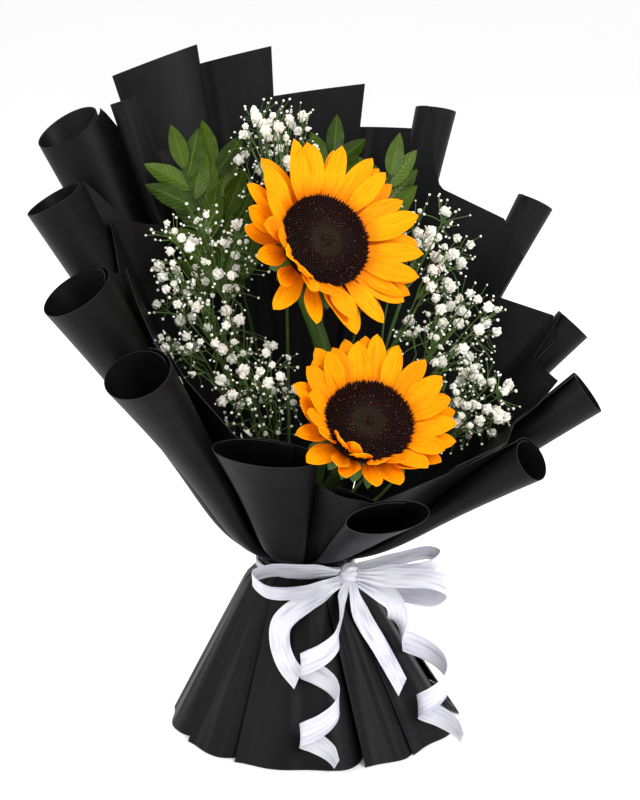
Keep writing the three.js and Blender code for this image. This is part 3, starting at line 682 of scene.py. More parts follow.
def flat_end(sheet, after):
    """Where the top edge of a sheet's flat part meets the next roll, on that roll's inner side."""
    inward = mouth_frame(after)[3] * -(after.deep + LAYER_GAP)
    return reach(after.azimuth, after.lean, after.length * sheet.meet) + inward


def wrap_sheet(sheet, after, beyond, bulge):
    """A rolled sheet. Its flat part runs from inside the next roll to this one, whose edge winds
    inward round the mouth: the angle grows evenly while the radius shrinks. The flat part starts a
    little way along the next sheet's flat part, towards the roll `beyond`."""
    w = np.linspace(0, 1, 76)
    angle = ROLL_START + ROLL_TURN * w
    shrink = 1 - ROLL_TIGHTENS * w
    radius = ROLL_R + np.sin(np.radians(angle)) * ROLL_SQUASH * shrink
    azimuth = sheet.neck + np.cos(np.radians(angle)) * sheet.half * shrink
    neck, rim = around(azimuth, radius, NECK_TOP), mouth_points(sheet, angle, shrink)
    if sheet.leave:
        w = np.linspace(1, 0, 22)[:-1]
        settle = smooth(w * 3)
        along = mouth_frame(sheet)[1]
        start = rim[0] - along * (sheet.length * (1 - sheet.leave) * settle)[:, None]
        end = flat_end(sheet, after)
        last = sheet.neck - (sheet.neck - after.neck) % 360 + 2
        flat_neck = around(mix(azimuth[0], last, w), mix(radius[0], LINER_R, settle), NECK_TOP)
        neck = np.vstack([flat_neck, neck])
        rim = np.vstack([mix(start, end, w[:, None]), rim])
        if after.leave:
            w = np.linspace(RUN_ON, 0, 10)[:-1]
            room = (after.neck - beyond.neck) % 360
            neck = np.vstack([around(last - room * w, LINER_R - 0.5, NECK_TOP), neck])
            rim = np.vstack([mix(end, flat_end(after, beyond), w[:, None]), rim])
    return paper_rows(neck, rim, bulge * sheet.swell)


# The flat panels at the back: each runs between two azimuths at the neck and two corners of its rim.
BACK_PANELS = [
    ("left", 132, 106, -1, (-98, 115, 484), (-26, 108, 503)),
    ("middle", 114, 78, 0, (-44, 118, 460), (46, 116, 473)),
    ("right", 84, 52, 1, (24, 124, 438), (88, 116, 438)),
]
PANEL_BOW = 4.0  # how far a panel's middle stands back
PANEL_STEP = 1.6  # from one panel to the next where they pass the neck


def back_panel(first, last, layer, left, right, bulge):
    """A flat panel of paper: its rim is straight but for a bow of sin(pi u) backwards."""
    u = np.linspace(0, 1, 24)
    rim = mix(np.array(left, float), np.array(right, float), u[:, None])
    rim[:, 1] += PANEL_BOW * np.sin(np.pi * u)
    return paper_rows(around(mix(first, last, u), ROLL_R + layer * PANEL_STEP, NECK_TOP), rim, bulge)


class BUNCH_OT_wrap(bpy.types.Operator):
    """Makes the rolled sheets and flat panels of paper round the flowers"""
    bl_idname = "bunch.wrap"
    bl_label = "Wrap"

    def execute(self, context):
        settings = context.scene.bunch_wrap
        finish = paper_finish("wrap paper", settings)
        thickness, bulge = settings.thickness / MM, settings.bulge / MM
        grids = {}
        for sheet, after, beyond in zip(SHEETS, [*SHEETS[1:], SHEETS[-2]], [*SHEETS[2:], None, None]):
            grids[f"wrap_{sheet.name}"] = wrap_sheet(sheet, after, beyond, bulge)
        for name, *rest in BACK_PANELS:
            grids[f"wrap_back_panel_{name}"] = back_panel(*rest, bulge)
        for node, grid in grids.items():
            pile = Pile()
            pile.shell(grid, thickness, grid_uv(*grid.shape[:2]))
            pile.made(f"{node}_paper", finish, "wrap_paper", [node])
        return {"FINISHED"}


# ---------- skirt ----------
COLLAR_R = 34.8  # radius of its top, round the rolls
SHOULDER_Z = 113.0  # height at which it has swelled out below the tie
SHOULDER_R = 45.0  # its radius there
HEM_R = 106.0  # radius of its hem
HEM_SHIFT = 7.0  # how far the hem's middle lies to the right of the neck
HEM_Z = 0.4  # height of the paper's middle at the hem
FOLD_PITCH = 30.0  # degrees from one soft fold to the next
# Each panel runs between two azimuths, with how far its first and last edge turn out at the hem. An edge
# that turns in lies under the next panel.
SKIRT = [
    ("front", 238, 297, 7.0, -24.0),
    ("front_right", 290, 321, 6.0, -12.0),
    ("right", 312, 366, 3.0, -8.0),
    ("back_right", -3, 64, 4.0, -24.0),
    ("back", 57, 124, 5.0, -24.0),
    ("back_left", 117, 184, 4.0, -20.0),
    ("left", 176, 220, 5.0, -34.0),
    ("front_left", 211, 247, 7.0, -36.0),
]
EDGE_REACH = 17.0  # degrees from an edge within which a panel turns out or in


def on_skirt(azimuth, z, off):
    """A point of the skirt, `off` outside its inner layer. The radius goes straight from the collar
    to the shoulder and from there to the hem, whose middle lies to the right of the neck."""
    swell = np.clip((NECK_FOOT - z) / (NECK_FOOT - SHOULDER_Z), 0, 1)
    fall = np.clip((SHOULDER_Z - z) / SHOULDER_Z, 0, 1)
    radius = mix(mix(COLLAR_R, SHOULDER_R, swell), HEM_R, fall) + off
    points = around(azimuth, radius, z)
    points[..., 0] += HEM_SHIFT * fall
    return points


def skirt_panel(first, last, low, high, fold, seed):
    """A panel of the skirt. It swells outward across its middle and softly folds, more towards the
    hem: fold * fall * (sin(pi u) + sin(wave) / 2). Its edges turn out by `low` and `high` at the hem, as
    squares of how near they are, within EDGE_REACH degrees."""
    rng = np.random.default_rng(seed)
    u = np.linspace(0, 1, 48)[:, None]
    z = np.append(np.linspace(NECK_Z + 4, SHOULDER_Z, 10)[:-1], np.linspace(SHOULDER_Z, HEM_Z, 40))[None]
    fall = np.clip((SHOULDER_Z - z) / SHOULDER_Z, 0, 1)
    turns = (last - first) / FOLD_PITCH
    wave = np.sin(2 * np.pi * (turns * u + rng.uniform(0, 1) + 0.12 * fall))
    near = np.clip(1 - np.concatenate([u, 1 - u], 1) * (last - first) / EDGE_REACH, 0, 1) ** 2
    edges = low * near[:, :1] + high * near[:, 1:]
    off = 0.6 + (0.08 + 0.92 * fall) * edges + fold * fall * (np.sin(np.pi * u) + 0.5 * wave)
    return on_skirt(mix(first, last, u), z, off)


class BUNCH_OT_skirt(bpy.types.Operator):
    """Makes the pleated skirt of paper below the tie"""
    bl_idname = "bunch.skirt"
    bl_label = "Skirt"

    def execute(self, context):
        settings = context.scene.bunch_wrap
        finish = paper_finish("skirt paper", settings)
        for seed, (name, first, last, low, high) in enumerate(SKIRT):
            grid = skirt_panel(first, last, low, high, settings.fold / MM, seed)
            pile = Pile()
            pile.shell(grid, settings.thickness / MM, grid_uv(*grid.shape[:2]))
            pile.made(f"skirt_{name}_paper", finish, "wrap_paper", [f"skirt_{name}"])
        return {"FINISHED"}


# ---------- ribbon ----------
KNOT_HALVES = (8.4, 9.0, 8.0)  # half the knot's depth, length along the bow, and height
GATHER = 0.4  # share of the ribbon's width that is left where it is gathered
CURL_R = 14.0  # radius of the curled tails
CURL_OFF = 23.1  # from the skirt's inner layer to a curl's axis
BOW_AZIMUTH = 314.0  # where the knot sits
FOOT_Z = 8.5  # height of the lower end of a curl's axis
# The bow's loops: how far each leans forward, in degrees, and points from the middle of the knot out
# round the loop and back.
LOOPS = {
    "left": (36, [(-8, -6, 4), (-34, -20, 9), (-60, -28, 12), (-72, -34, 9),
                  (-62, -41, 1), (-36, -33, -3), (-8, -12, -1)]),
    "right_upper": (32, [(6, 3, 4), (34, 8, 8), (60, 12, 12), (68, 8, 10),
                         (60, 0, 5), (34, -1, 2), (6, -3, 2)]),
    "right_lower": (-44, [(6, -6, 0), (36, -13, 1), (62, -12, -1), (73, -3, -10),
                          (63, 8, -22), (38, 12, -19), (8, 2, -6)]),
}


def off_knot(x, y, z):
    """A stop of a tail by the knot: its point, and the way the ribbon faces there."""
    return KNOT + (x, y, z), around(BOW_AZIMUTH, 1, 0)


def down(azimuth, z, off):
    """A stop of a tail that hangs down the skirt, facing away from it."""
    return on_skirt(azimuth, z, off), around(azimuth, 1, 0)


def curl(top, foot, first, turns):
    """Stops of a curl about a line from `top` to `foot`: the facing turns evenly, clockwise seen from
    above, and each stop lies CURL_R from the line on that side."""
    count = round(turns * 8)
    share = np.linspace(0, 1, count + 1)
    face = around(first - 360 * turns * share, 1, 0)
    return list(zip(mix(top, foot, share[:, None]) + face * CURL_R, face))


TAILS = {
    "left": [off_knot(-3, -5, -4), down(270, 112, 12), down(254, 98, 12), down(253, 84, 9),
             down(258, 70, 8), down(266, 58, 6)],
    "front_curl": [off_knot(-1, -6, -5), off_knot(-5, -10, -15),
                   *curl(on_skirt(278, 98, CURL_OFF), on_skirt(272, FOOT_Z, CURL_OFF), 10, 2)],
    "straight": [off_knot(2, -5, -5), down(313, 98, 7), down(318, 74, 6), down(321, 52, 5),
                 down(322, 40, 5)],
    "right_curl": [off_knot(4, -5, -4), off_knot(32, -4, -20),
                   *curl(on_skirt(341, 72, CURL_OFF), on_skirt(322, FOOT_Z, CURL_OFF), 180, 1.5)],
}
PLEATS = 3  # folds across the ribbon where it is gathered
PLEAT_DEPTH = 1.5
BAND_IN = 2.5  # from the outside of the CAD band in to the middle of the folded one
BAND_LOWER = 2.5  # how much lower than the CAD band its top is
BAND_FOLD, BAND_FOLDS = 0.95, 4  # depth and number of its folds
OPENS_IN = 26.0  # along the ribbon from the knot to where it has its full width
TAIL_CUT = 7.0  # how much shorter one side of a tail is at its cut end


def ribbon_strip(points, faces, width, lean=0.0):
    """A strip of ribbon along a smooth line. It stands on edge, leaning forward by `lean` degrees, or
    faces the given ways. Near the knot it narrows, and its middle folds into pleats of
    depth * cos(2 pi n w) for w across it. A tail's end is cut on a slant."""
    line = curve(points, 600)
    length = line_length(line)
    rows, columns = max(24, int(length / 1.6)), 15
    u, w = np.linspace(0, 1, rows)[:, None], np.linspace(-0.5, 0.5, columns)[None]
    cut = TAIL_CUT / length * (w + 0.5) * smooth((u - 0.8) / 0.2) if faces is not None else 0 * w
    share = u - cut
    centre = along_line(line, share)
    along = unit(np.gradient(along_line(line, u[:, 0]), axis=0))[:, None]
    if faces is None:
        edge = np.array([0, -np.sin(np.radians(lean)), np.cos(np.radians(lean))])
        across = unit(edge - along * (along @ edge)[..., None])
        end = np.minimum(u, 1 - u)
    else:
        stops = nearest_share(line, points)
        face = np.stack([np.interp(u[:, 0], stops, np.asarray(faces)[:, k]) for k in range(3)], -1)
        across = unit(np.cross(face, along[:, 0]))[:, None]
        end = u
    open_share = smooth(end * length / OPENS_IN)
    spread = mix(GATHER, 1.0, open_share)
    normal = np.cross(along, across)
    pleat = PLEAT_DEPTH * (1 - open_share) * np.cos(2 * np.pi * PLEATS * w)
    grid = centre + across * (w * width * spread)[..., None] + normal * pleat[..., None]
    return grid, length


def nearest_share(line, points):
    """Where along a line each of its stops lies, as shares of its length."""
    gaps = np.linalg.norm(line[:, None] - np.asarray(points)[None], axis=-1)
    return np.maximum.accumulate(gaps.argmin(0) / (len(line) - 1))


class BUNCH_OT_ribbon(bpy.types.Operator):
    """Makes the satin ribbon: the band round the neck, the knot, the bow's loops and the tails"""
    bl_idname = "bunch.ribbon"
    bl_label = "Ribbon"

    def execute(self, context):
        settings = context.scene.bunch_ribbon
        finish = satin_finish(settings)
        width, thickness = settings.width / MM, settings.thickness / MM
        strips = {}
        for name, (lean, points) in LOOPS.items():
            strips[f"ribbon_loop_{name}"] = (KNOT + np.array(points, float), None, lean)
        for name, stops in TAILS.items():
            strips[f"ribbon_tail_{name}"] = (np.array([p for p, _ in stops]), [f for _, f in stops], 0.0)
        for node, (points, faces, lean) in strips.items():
            grid, length = ribbon_strip(points, faces, width, lean)
            pile = Pile()
            pile.shell(grid, thickness, grid_uv(*grid.shape[:2]))
            piece = pile.made(f"{node}_satin", finish, "satin_ribbon", [node])
            length * MM
        self.knot(finish)
        self.band(finish, thickness, settings.width)
        return {"FINISHED"}

    def knot(self, finish):
        """A knot of gathered ribbon: an ellipsoid with its poles at the sides, whose radius ripples as
        sin(9 turn + 2 sin(3 rise)) with the folds that run over it."""
        turn = np.linspace(0, 2 * np.pi, 49)[:-1][:, None]
        rise = np.linspace(-0.5, 0.5, 25)[None] * np.pi
        ripple = np.cos(rise) * (1 + 0.07 * np.cos(rise) * np.sin(9 * turn + 2 * np.sin(3 * rise)))
        out = around(BOW_AZIMUTH, 1, 0)
        side = np.cross(UP, out)
        deep, long, tall = KNOT_HALVES
        local = np.stack([np.cos(turn) * ripple * deep, np.sin(rise) * long + 0 * turn,
                          np.sin(turn) * ripple * tall], -1)
        grid = KNOT + local[..., :1] * out + local[..., 1:2] * side + local[..., 2:] * UP
        index = np.arange(grid.shape[0] * grid.shape[1]).reshape(grid.shape[:2])
        index = np.concatenate([index, index[:1]], 0)
        pile = Pile()
        uv = grid_uv(*grid.shape[:2])
        pile.add(grid, [quads(index[:, 1:-1]), index[-2::-1, 1][None], index[:-1, -2][None]], uv)
        pile.made("ribbon_knot_satin", finish, "satin_ribbon", ["ribbon_knot"])

    def band(self, finish, thickness, width):
        """The gathered band round the neck: a ring whose radius folds as a cosine of the height."""
        low, high = box_mm("ribbon_band")
        middle = (high[0] - low[0]) / 2 - BAND_IN
        rise = np.linspace(0, 1, 37)[None]
        turn = np.linspace(0, 360, 181)[:, None]
        fold = BAND_FOLD * np.cos(2 * np.pi * BAND_FOLDS * rise + 0.6 * np.sin(np.radians(turn * 5)))
        grid = around(turn, middle + fold, mix(low[2], high[2] - BAND_LOWER, rise))
        pile = Pile()
        pile.shell(grid, thickness, grid_uv(*grid.shape[:2]))
        piece = pile.made("ribbon_band_satin", finish, "satin_ribbon", ["ribbon_band"])
        2 * np.pi * middle * MM


# ---------- stems ----------
STEM_SPLAY = 1.5  # how many times further out the stems stand on the table than at the neck


def stem_line(azimuth, radius, upper, count):
    """A stem stands on its cut end, runs in to its place in the tied bundle and goes on to `upper`."""
    foot = radius * STEM_SPLAY
    lower = [around(azimuth, foot, z) for z in (0.0, 14.0, 28.0)]
    by_neck = ((1.06, -26), (1.0, 0), (1.12, 26))
    tied = [around(azimuth, radius * share, NECK_Z + rise) for share, rise in by_neck]
    return curve([*lower, *tied, *upper], count)


# ---------- sunflowers ----------
Head = namedtuple("Head", "name petal_length cup back_cup curl_at stem_azimuth stem_radius stem_r via")
HEADS = [
    Head("upper", 40.0, 14.0, 36.0, 200.0, 75, 8, 6.0, [(10, 2, 205), (18, -2, 270)]),
    Head("lower", 33.0, 30.0, 24.0, 222.0, 265, 9, 5.5, [(8, -30, 178)]),
]
PETAL_ROOT_IN = 5.5  # how far inside the disc's edge the petals start
STRAIGHT_STEM = (48.6, 36.6, 24.2)  # distances behind the head at which its stem runs straight
BRACTS = 26  # green leaves behind each head's petals
DOME = [(0, 0), (1, 0), (1.012, 2), (0.9, 4.5), (0.62, 5.5), (0.35, 4), (0, 3)]  # radius share, height


def head_frame(name):
    """A flower's middle, the way it faces, and its disc's radius, from the CAD node of its disc. The
    facing is the direction in which the node's points spread least."""
    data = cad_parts[f"{name}_flower_disc"].data.vertices
    points = (np.array([tuple(v.co) for v in data]) - NECK) / MM
    points = np.unique(points.round(3), axis=0)
    _, _, axes = np.linalg.svd(points - points.mean(0))
    facing = axes[2] * -np.sign(axes[2][1])
    height = points @ facing
    rim = points[height < height.min() + 0.5]
    spread = rim - rim.mean(0)
    flat = rim[np.linalg.norm(spread, axis=1) > 1]
    centre = flat.mean(0)
    return centre, facing, np.linalg.norm(flat - centre, axis=1).max()


def head_axes(facing):
    """A flower's own directions: to the right and up as its face is seen, and the way it faces."""
    right = unit(np.cross(UP, facing))
    return np.stack([right, np.cross(facing, right), facing])


def petal_grid(length, width, lift, curl, cup, twist, bend, rows=15, columns=11):
    """A petal along X from its root. Its half width is w (0.42 + 0.58 smooth(1.8u)) (1 - u^4.6)^0.7, its
    midline turns from `lift` by `curl` degrees, its edges rise by `cup` times the half width, and it
    twists about its midline and bends sideways as the square of u."""
    u, w = np.linspace(0, 1, rows)[:, None], np.linspace(-1, 1, columns)[None]
    half = width / 2 * (0.42 + 0.58 * smooth(1.8 * u)) * (1 - u ** 4.6) ** 0.7 + 0.05
    slope = np.radians(lift + curl * u)
    step = length / (rows - 1)
    run = np.cumsum(np.cos(slope), 0) * step - step
    rise = np.cumsum(np.sin(slope), 0) * step - step
    lean = np.radians(twist * u)
    side = w * half
    up = cup * half * w ** 2 + 0.5 * np.cos(3 * np.pi * w) * (1 - u ** 3)
    y = side * np.cos(lean) - up * np.sin(lean) + bend * u ** 2
    z = side * np.sin(lean) + up * np.cos(lean)
    return np.stack(np.broadcast_arrays(run - z * np.sin(slope), y, rise + z * np.cos(slope)), -1)


def ringed(grid, root, angle, height):
    """A petal moved out to a root radius and height, and turned about the flower's axis."""
    moved = grid + (root, 0, height)
    c, s = np.cos(np.radians(angle)), np.sin(np.radians(angle))
    x, y = moved[..., 0] * c - moved[..., 1] * s, moved[..., 0] * s + moved[..., 1] * c
    return np.stack([x, y, moved[..., 2]], -1)


class BUNCH_OT_flowers(bpy.types.Operator):
    """Makes the two sunflowers: petals, disc, bracts, receptacle and stem"""
    bl_idname = "bunch.flowers"
    bl_label = "Sunflowers"

    def execute(self, context):
        settings = context.scene.bunch_flowers
        petals, disc = petal_finish(settings), disc_finish(settings)
        stem = green_finish("flower stem", settings.green_colour, settings.pale_colour, 24.0)
        bract = green_finish("bracts", settings.green_colour, settings.pale_colour, 9.0)
        for seed, head in enumerate(HEADS):
            centre, facing, disc_r = head_frame(head.name)
            axes = head_axes(facing)
            rng = np.random.default_rng(40 + seed)
            self.rays(head, settings, petals, centre, axes, disc_r, rng)
            self.disc(head, settings, disc, centre, axes, disc_r, rng)
            self.bracts(head, bract, centre, axes, disc_r, rng)
            self.receptacle(head, bract, centre, axes, disc_r)
            self.stem(head, stem, centre, facing)
        return {"FINISHED"}

    def rays(self, head, settings, finish, centre, axes, disc_r, rng):
        """Two rings of petals. Those round `curl_at` stand up more, are shorter and curl over."""
        for ring, node in enumerate(("inner_petals", "outer_petals")):
            pile = Pile()
            count = settings.petals
            for k in range(count):
                angle = (k + 0.5 * ring + rng.uniform(-0.22, 0.22)) * 360 / count
                near = max(0.0, np.cos(np.radians(angle - head.curl_at))) ** 1.5
                length = head.petal_length * rng.uniform(0.88, 1.06) * (1 - 0.22 * near) + 8
                width = settings.petal_width / MM * rng.uniform(0.85, 1.12)
                lift = head.cup + 10 * (1 - ring) + near * head.back_cup * (0.9 - 0.75 * ring) - 6
                lift += rng.normal(0, 4)
                curl, hollow = rng.uniform(-4, 22) * (1 + near), rng.uniform(0.12, 0.4)
                grid = petal_grid(length, width, lift, curl, hollow, rng.normal(0, 14), rng.normal(0, 2.4))
                height = -1.2 - 2.2 * ring - 0.5 * (k % 2)
                placed = ringed(grid, disc_r - PETAL_ROOT_IN, angle, height) @ axes + centre
                pile.shell(placed, 0.45, grid_uv(15, 11), rng.uniform())
            pile.made(f"{head.name}_{node}_blades", finish, "petals", [f"{head.name}_{node}"], CRISP)

    def disc(self, head, settings, finish, centre, axes, disc_r, rng):
        """The domed disc with its florets set at the golden angle, their radii as square roots."""
        dome, faces = round_shape([(r * disc_r, z) for r, z in DOME], 48)
        pile = Pile()
        pile.add(dome @ axes + centre, faces, np.zeros((len(dome), 2)), 0.2)
        pile.made(f"{head.name}_disc_dome", finish, "seed_disc", [f"{head.name}_flower_disc"], CRISP)

        count = settings.florets
        k = np.arange(count) + 0.5
        share = np.sqrt(k / count)
        angle = k * GOLDEN_ANGLE
        radii, heights = np.array(DOME[:1:-1]).T
        z = np.interp(share, radii, heights)
        out = around(angle, 1.0, 0.0)
        centres = out * (share * disc_r * 0.99)[:, None] + UP * (z - 0.4)[:, None]
        lean = np.clip((share - 0.55) * 2.0, -0.5, 0.9)[:, None]
        upright = unit(UP + out * lean + rng.normal(0, 0.12, (count, 3)))
        side = unit(np.cross(upright, out + 0.01))
        turns = np.stack([side, np.cross(upright, side), upright], -1)
        tall = 1.3 + 2.0 * smooth((share - 0.3) / 0.5) + rng.uniform(-0.4, 0.8, count)
        template, faces = round_shape([(0, -0.3), (0.36, 0.0), (0.4, 0.4), (0.14, 0.85), (0, 1)], 5)
        turned = np.einsum("nij,mj->nmi", turns, template)
        stretch = upright[:, None] * template[None, :, 2:]
        flat = turned - stretch
        points = centres[:, None] + flat * 1.9 + stretch * tall[:, None, None]
        middle = smooth((share - 0.1) / 0.08) * (1 - smooth((share - 0.3) / 0.15))
        tips = np.clip(template[:, 2], 0, 1)[None]
        uv = np.stack(np.broadcast_arrays(tips, middle[:, None]), -1)
        shift = (np.arange(count) * len(template))[:, None, None]
        all_faces = [(part[None] + shift).reshape(-1, part.shape[1]) for part in faces]
        pile = Pile()
        tones = np.repeat(rng.uniform(size=count), len(template))
        pile.add(points.reshape(-1, 3) @ axes + centre, all_faces, uv, tones)
        pile.made(f"{head.name}_disc_florets", finish, "seed_disc", (), CRISP_FLORET)

    def bracts(self, head, finish, centre, axes, disc_r, rng):
        """Green bracts behind the petals, in turn nearer and further back, each bent back."""
        pile = Pile()
        for k in range(BRACTS):
            angle = (k + rng.uniform(-0.2, 0.2)) * 360 / BRACTS
            length, width = rng.uniform(17, 24), rng.uniform(8, 10.5)
            lift, curl = rng.uniform(-8, 6), rng.uniform(-50, -10)
            grid = petal_grid(length, width, lift, curl, 0.2, rng.normal(0, 8), rng.normal(0, 1.5), 9, 7)
            placed = ringed(grid, disc_r - 10, angle, -6.4 - 1.2 * (k % 2)) @ axes + centre
            pile.shell(placed, 0.6, grid_uv(9, 7), rng.uniform())
        pile.made(f"{head.name}_bract_leaves", finish, "green_stem", [f"{head.name}_bracts"], CRISP)

    def receptacle(self, head, finish, centre, axes, disc_r):
        """The green bowl under the disc, turned from its profile."""
        profile = [(0, -24), (head.stem_r + 1.5, -23.8), (head.stem_r + 4, -21), (disc_r * 0.55, -15.5),
                   (disc_r * 0.78, -9.5), (disc_r * 0.8, -7.2), (disc_r * 0.76, -6.2), (0, -6)]
        points, faces = round_shape(profile, 40)
        angle = np.arctan2(points[:, 1], points[:, 0]) / (2 * np.pi) + 0.5
        pile = Pile()
        pile.add(points @ axes + centre, faces, np.stack([points[:, 2] / -24, angle], -1))
        pile.made(f"{head.name}_receptacle_bowl", finish, "green_stem", [f"{head.name}_receptacle"], CRISP)

    def stem(self, head, finish, centre, facing):
        """The stem, a ribbed rod from its cut end to the receptacle, straight behind the head."""
        upper = [*np.array(head.via, float), *(centre - facing * back for back in STRAIGHT_STEM)]
        line = stem_line(head.stem_azimuth, head.stem_radius, upper, 90)
        pile = Pile()
        tubes(pile, line[None], head.stem_r, 18)
        pile.made(f"{head.name}_stem_rod", finish, "green_stem", [f"{head.name}_flower_stem"], CRISP)


# ---------- baby's breath ----------
Spray = namedtuple("Spray", "name azimuth lean length spread slot")
SPRAYS = [
    Spray("back_left", 125, 7, 335, 24, 135),
    Spray("upper_left", 200, 18, 280, 30, 178),
    Spray("middle_left", 208, 24, 235, 28, 200),
    Spray("lower_left", 240, 24, 185, 24, 225),
    Spray("upper_right", 8, 21, 280, 26, 20),
    Spray("middle_right", 352, 31, 240, 26, 355),
    Spray("lower_right", 342, 44, 205, 22, 330),
]
SPRAY_SLOT_R = 15.6  # how far from the neck's axis the sprays are tied
BRANCHING = 0.58  # where a spray starts to branch, as a share of its length
BRANCHES = 7
BUD_TWIG = 34.0  # buds further than this from every joint are left out


def twig_lines(starts, ends, sag, steps):
    """Twigs between pairs of points, each bowed by `sag` at its middle: a straight line plus
    4 s (1 - s) times the sag."""
    s = np.linspace(0, 1, steps)[None, :, None]
    return mix(starts[:, None], ends[:, None], s) + 4 * s * (1 - s) * sag[:, None]


def clear_of_heads(points):
    """True for points that no flower head takes up: a head fills a dish round its axis."""
    clear = np.ones(len(points), bool)
    for head in HEADS:
        centre, facing, disc_r = head_frame(head.name)
        offset = points - centre
        height = offset @ facing
        radius = np.linalg.norm(offset - height[:, None] * facing, axis=1)
        reach_out = disc_r + head.petal_length + 4
        clear &= ~((radius < reach_out) & (height > -9 - 0.25 * (reach_out - radius)) & (height < 48))
    return clear


class BUNCH_OT_sprays(bpy.types.Operator):
    """Makes the sprays of baby's breath: branching stems, blooms and buds"""
    bl_idname = "bunch.sprays"
    bl_label = "Baby's breath"

    def execute(self, context):
        settings = context.scene.bunch_sprays
        bloom = bloom_finish(settings)
        twig = green_finish("twigs", settings.twig_colour, shade(settings.twig_colour, 2.2)[:3], 3.0)
        for seed, spray in enumerate(SPRAYS):
            self.spray(spray, settings, bloom, twig, np.random.default_rng(70 + seed))
        return {"FINISHED"}

    def spray(self, spray, settings, bloom, twig, rng):
        """One spray: a stem to the fork, branches from there, a twig to each bloom from its nearest
        branch, and finer twigs to the buds. Blooms fill a dome at the golden angle."""
        tip = reach(spray.azimuth, spray.lean, spray.length)
        fork = reach(spray.azimuth, spray.lean, spray.length * BRANCHING)
        axis = unit(tip - fork)
        side = unit(np.cross(UP, axis))
        over = np.cross(axis, side)

        def dome(count, spread, turn):
            k = np.arange(count) + 0.5
            angle, radius = np.radians(k * GOLDEN_ANGLE + turn), spread * np.sqrt(k / count)
            flat = side * (np.cos(angle) * radius)[:, None] + over * (np.sin(angle) * radius)[:, None]
            return flat, radius

        flat, radius = dome(settings.blooms, spray.spread * 1.3, 0)
        heads = tip + flat - axis * (radius * 0.6 + rng.uniform(-16, 34, settings.blooms))[:, None]
        heads = heads[clear_of_heads(heads)]
        splay, radius = dome(BRANCHES, spray.spread * 0.8, 30)
        knots = mix(fork, tip, 0.5) + splay * 0.7 - axis * (radius * 0.5)[:, None]
        nearest = np.linalg.norm(heads[:, None] - knots[None], axis=-1).argmin(1)
        twigs = twig_lines(knots[nearest], heads, axis * 2.0 + rng.normal(0, 2.0, heads.shape), 6)
        flat, radius = dome(settings.buds, spray.spread * 1.45, 77)
        buds = tip + flat - axis * (radius * 0.6 + rng.uniform(-22, 42, settings.buds))[:, None]
        buds = buds[clear_of_heads(buds)]
        joints = twigs[:, 2:5].reshape(-1, 3)
        apart = np.linalg.norm(buds[:, None] - joints[None], axis=-1)
        close = apart.min(1) < BUD_TWIG
        buds, from_ = buds[close], joints[apart.argmin(1)][close]
        sprout = twig_lines(from_, buds, rng.normal(0, 1.2, buds.shape), 4)

        low = mix(fork, around(spray.slot, SPRAY_SLOT_R, NECK_Z), 0.4)
        pile = Pile()
        stem = stem_line(spray.slot, SPRAY_SLOT_R, [low, fork], 60)
        tubes(pile, stem[None], np.linspace(1.6, 1.2, 60), 8, 0.3)
        branches = twig_lines(np.repeat(fork[None], BRANCHES, 0), knots, splay * 0.12, 8)
        tubes(pile, branches, np.linspace(0.9, 0.6, 8), 5, 0.4)
        tubes(pile, twigs, np.linspace(0.5, 0.32, 6), 4, 0.5)
        tubes(pile, sprout, np.linspace(0.3, 0.22, 4), 3, 0.6)
        name = f"babys_breath_{spray.name}"
        pile.made(f"{name}_stems", twig, "green_stem", [name], CRISP)

        pile = Pile()
        ball = [(0, -0.5), (0.34, -0.38), (0.5, -0.08), (0.45, 0.24), (0.22, 0.45), (0, 0.42)]
        template, faces = round_shape(ball, 10, 0.31, 0.16)
        share = rng.choice([1.0, 0.8, 0.6, 0.45], len(heads), p=[0.26, 0.3, 0.24, 0.2])
        size = settings.bloom_size / MM * share
        depth = np.linalg.norm(template, axis=1)
        # U is 1 on a bloom's crests and 0 in its folds, where the finish paints shade
        uv = np.stack([smooth((depth - 0.36) / 0.2), 0 * depth], -1)
        turns, tones = random_turns(rng, len(heads)), rng.uniform(size=len(heads))
        copies(pile, template, faces, heads, size, turns, tones, uv)
        bead, bead_faces = round_shape([(0, -0.5), (0.36, -0.2), (0.4, 0.15), (0, 0.5)], 5)
        bead_uv = np.full((len(bead), 2), 0.9)
        size = rng.uniform(1.6, 3.0, len(buds))
        turns, tones = random_turns(rng, len(buds)), rng.uniform(0, 0.7, len(buds))
        copies(pile, bead, bead_faces, buds, size, turns, tones, bead_uv)
        pile.made(f"{name}_blooms", bloom, "small_blooms", (), 0)


# ---------- green sprigs ----------
Sprig = namedtuple("Sprig", "name azimuth lean length slot")
SPRIGS = [
    Sprig("far_left", 174, 16.5, 312, 160),
    Sprig("left", 150, 15, 306, 118),
    Sprig("right", 68, 11, 306, 66),
    Sprig("far_right", 27, 14, 298, 42),
]
SPRIG_SLOT_R = 18.5  # how far from the neck's axis the sprigs are tied
LEAF_PITCH = 8.0  # along the sprig from one leaf to the next


def leaf_grid(length, width, fold, droop, rows=19, columns=11):
    """A pointed oval leaf along X. Its half width is w sin(pi (0.04 + 0.96 u)^0.85)^0.8, it folds up by
    `fold` either side of its midrib, which bows by `droop`, and its margin ripples."""
    u, w = np.linspace(0, 1, rows)[:, None], np.linspace(-1, 1, columns)[None]
    half = width / 2 * np.sin(np.pi * (0.04 + 0.96 * u) ** 0.85) ** 0.8 + 0.1
    side = w * half
    up = fold * np.abs(side) + droop * length * np.sin(np.pi * u * 0.9) - droop * length * u ** 2 * 1.4
    ripple = 0.4 * np.sin(u * 21 + w * 2) * w ** 2
    return np.stack(np.broadcast_arrays(u * length, side, up + ripple), -1)


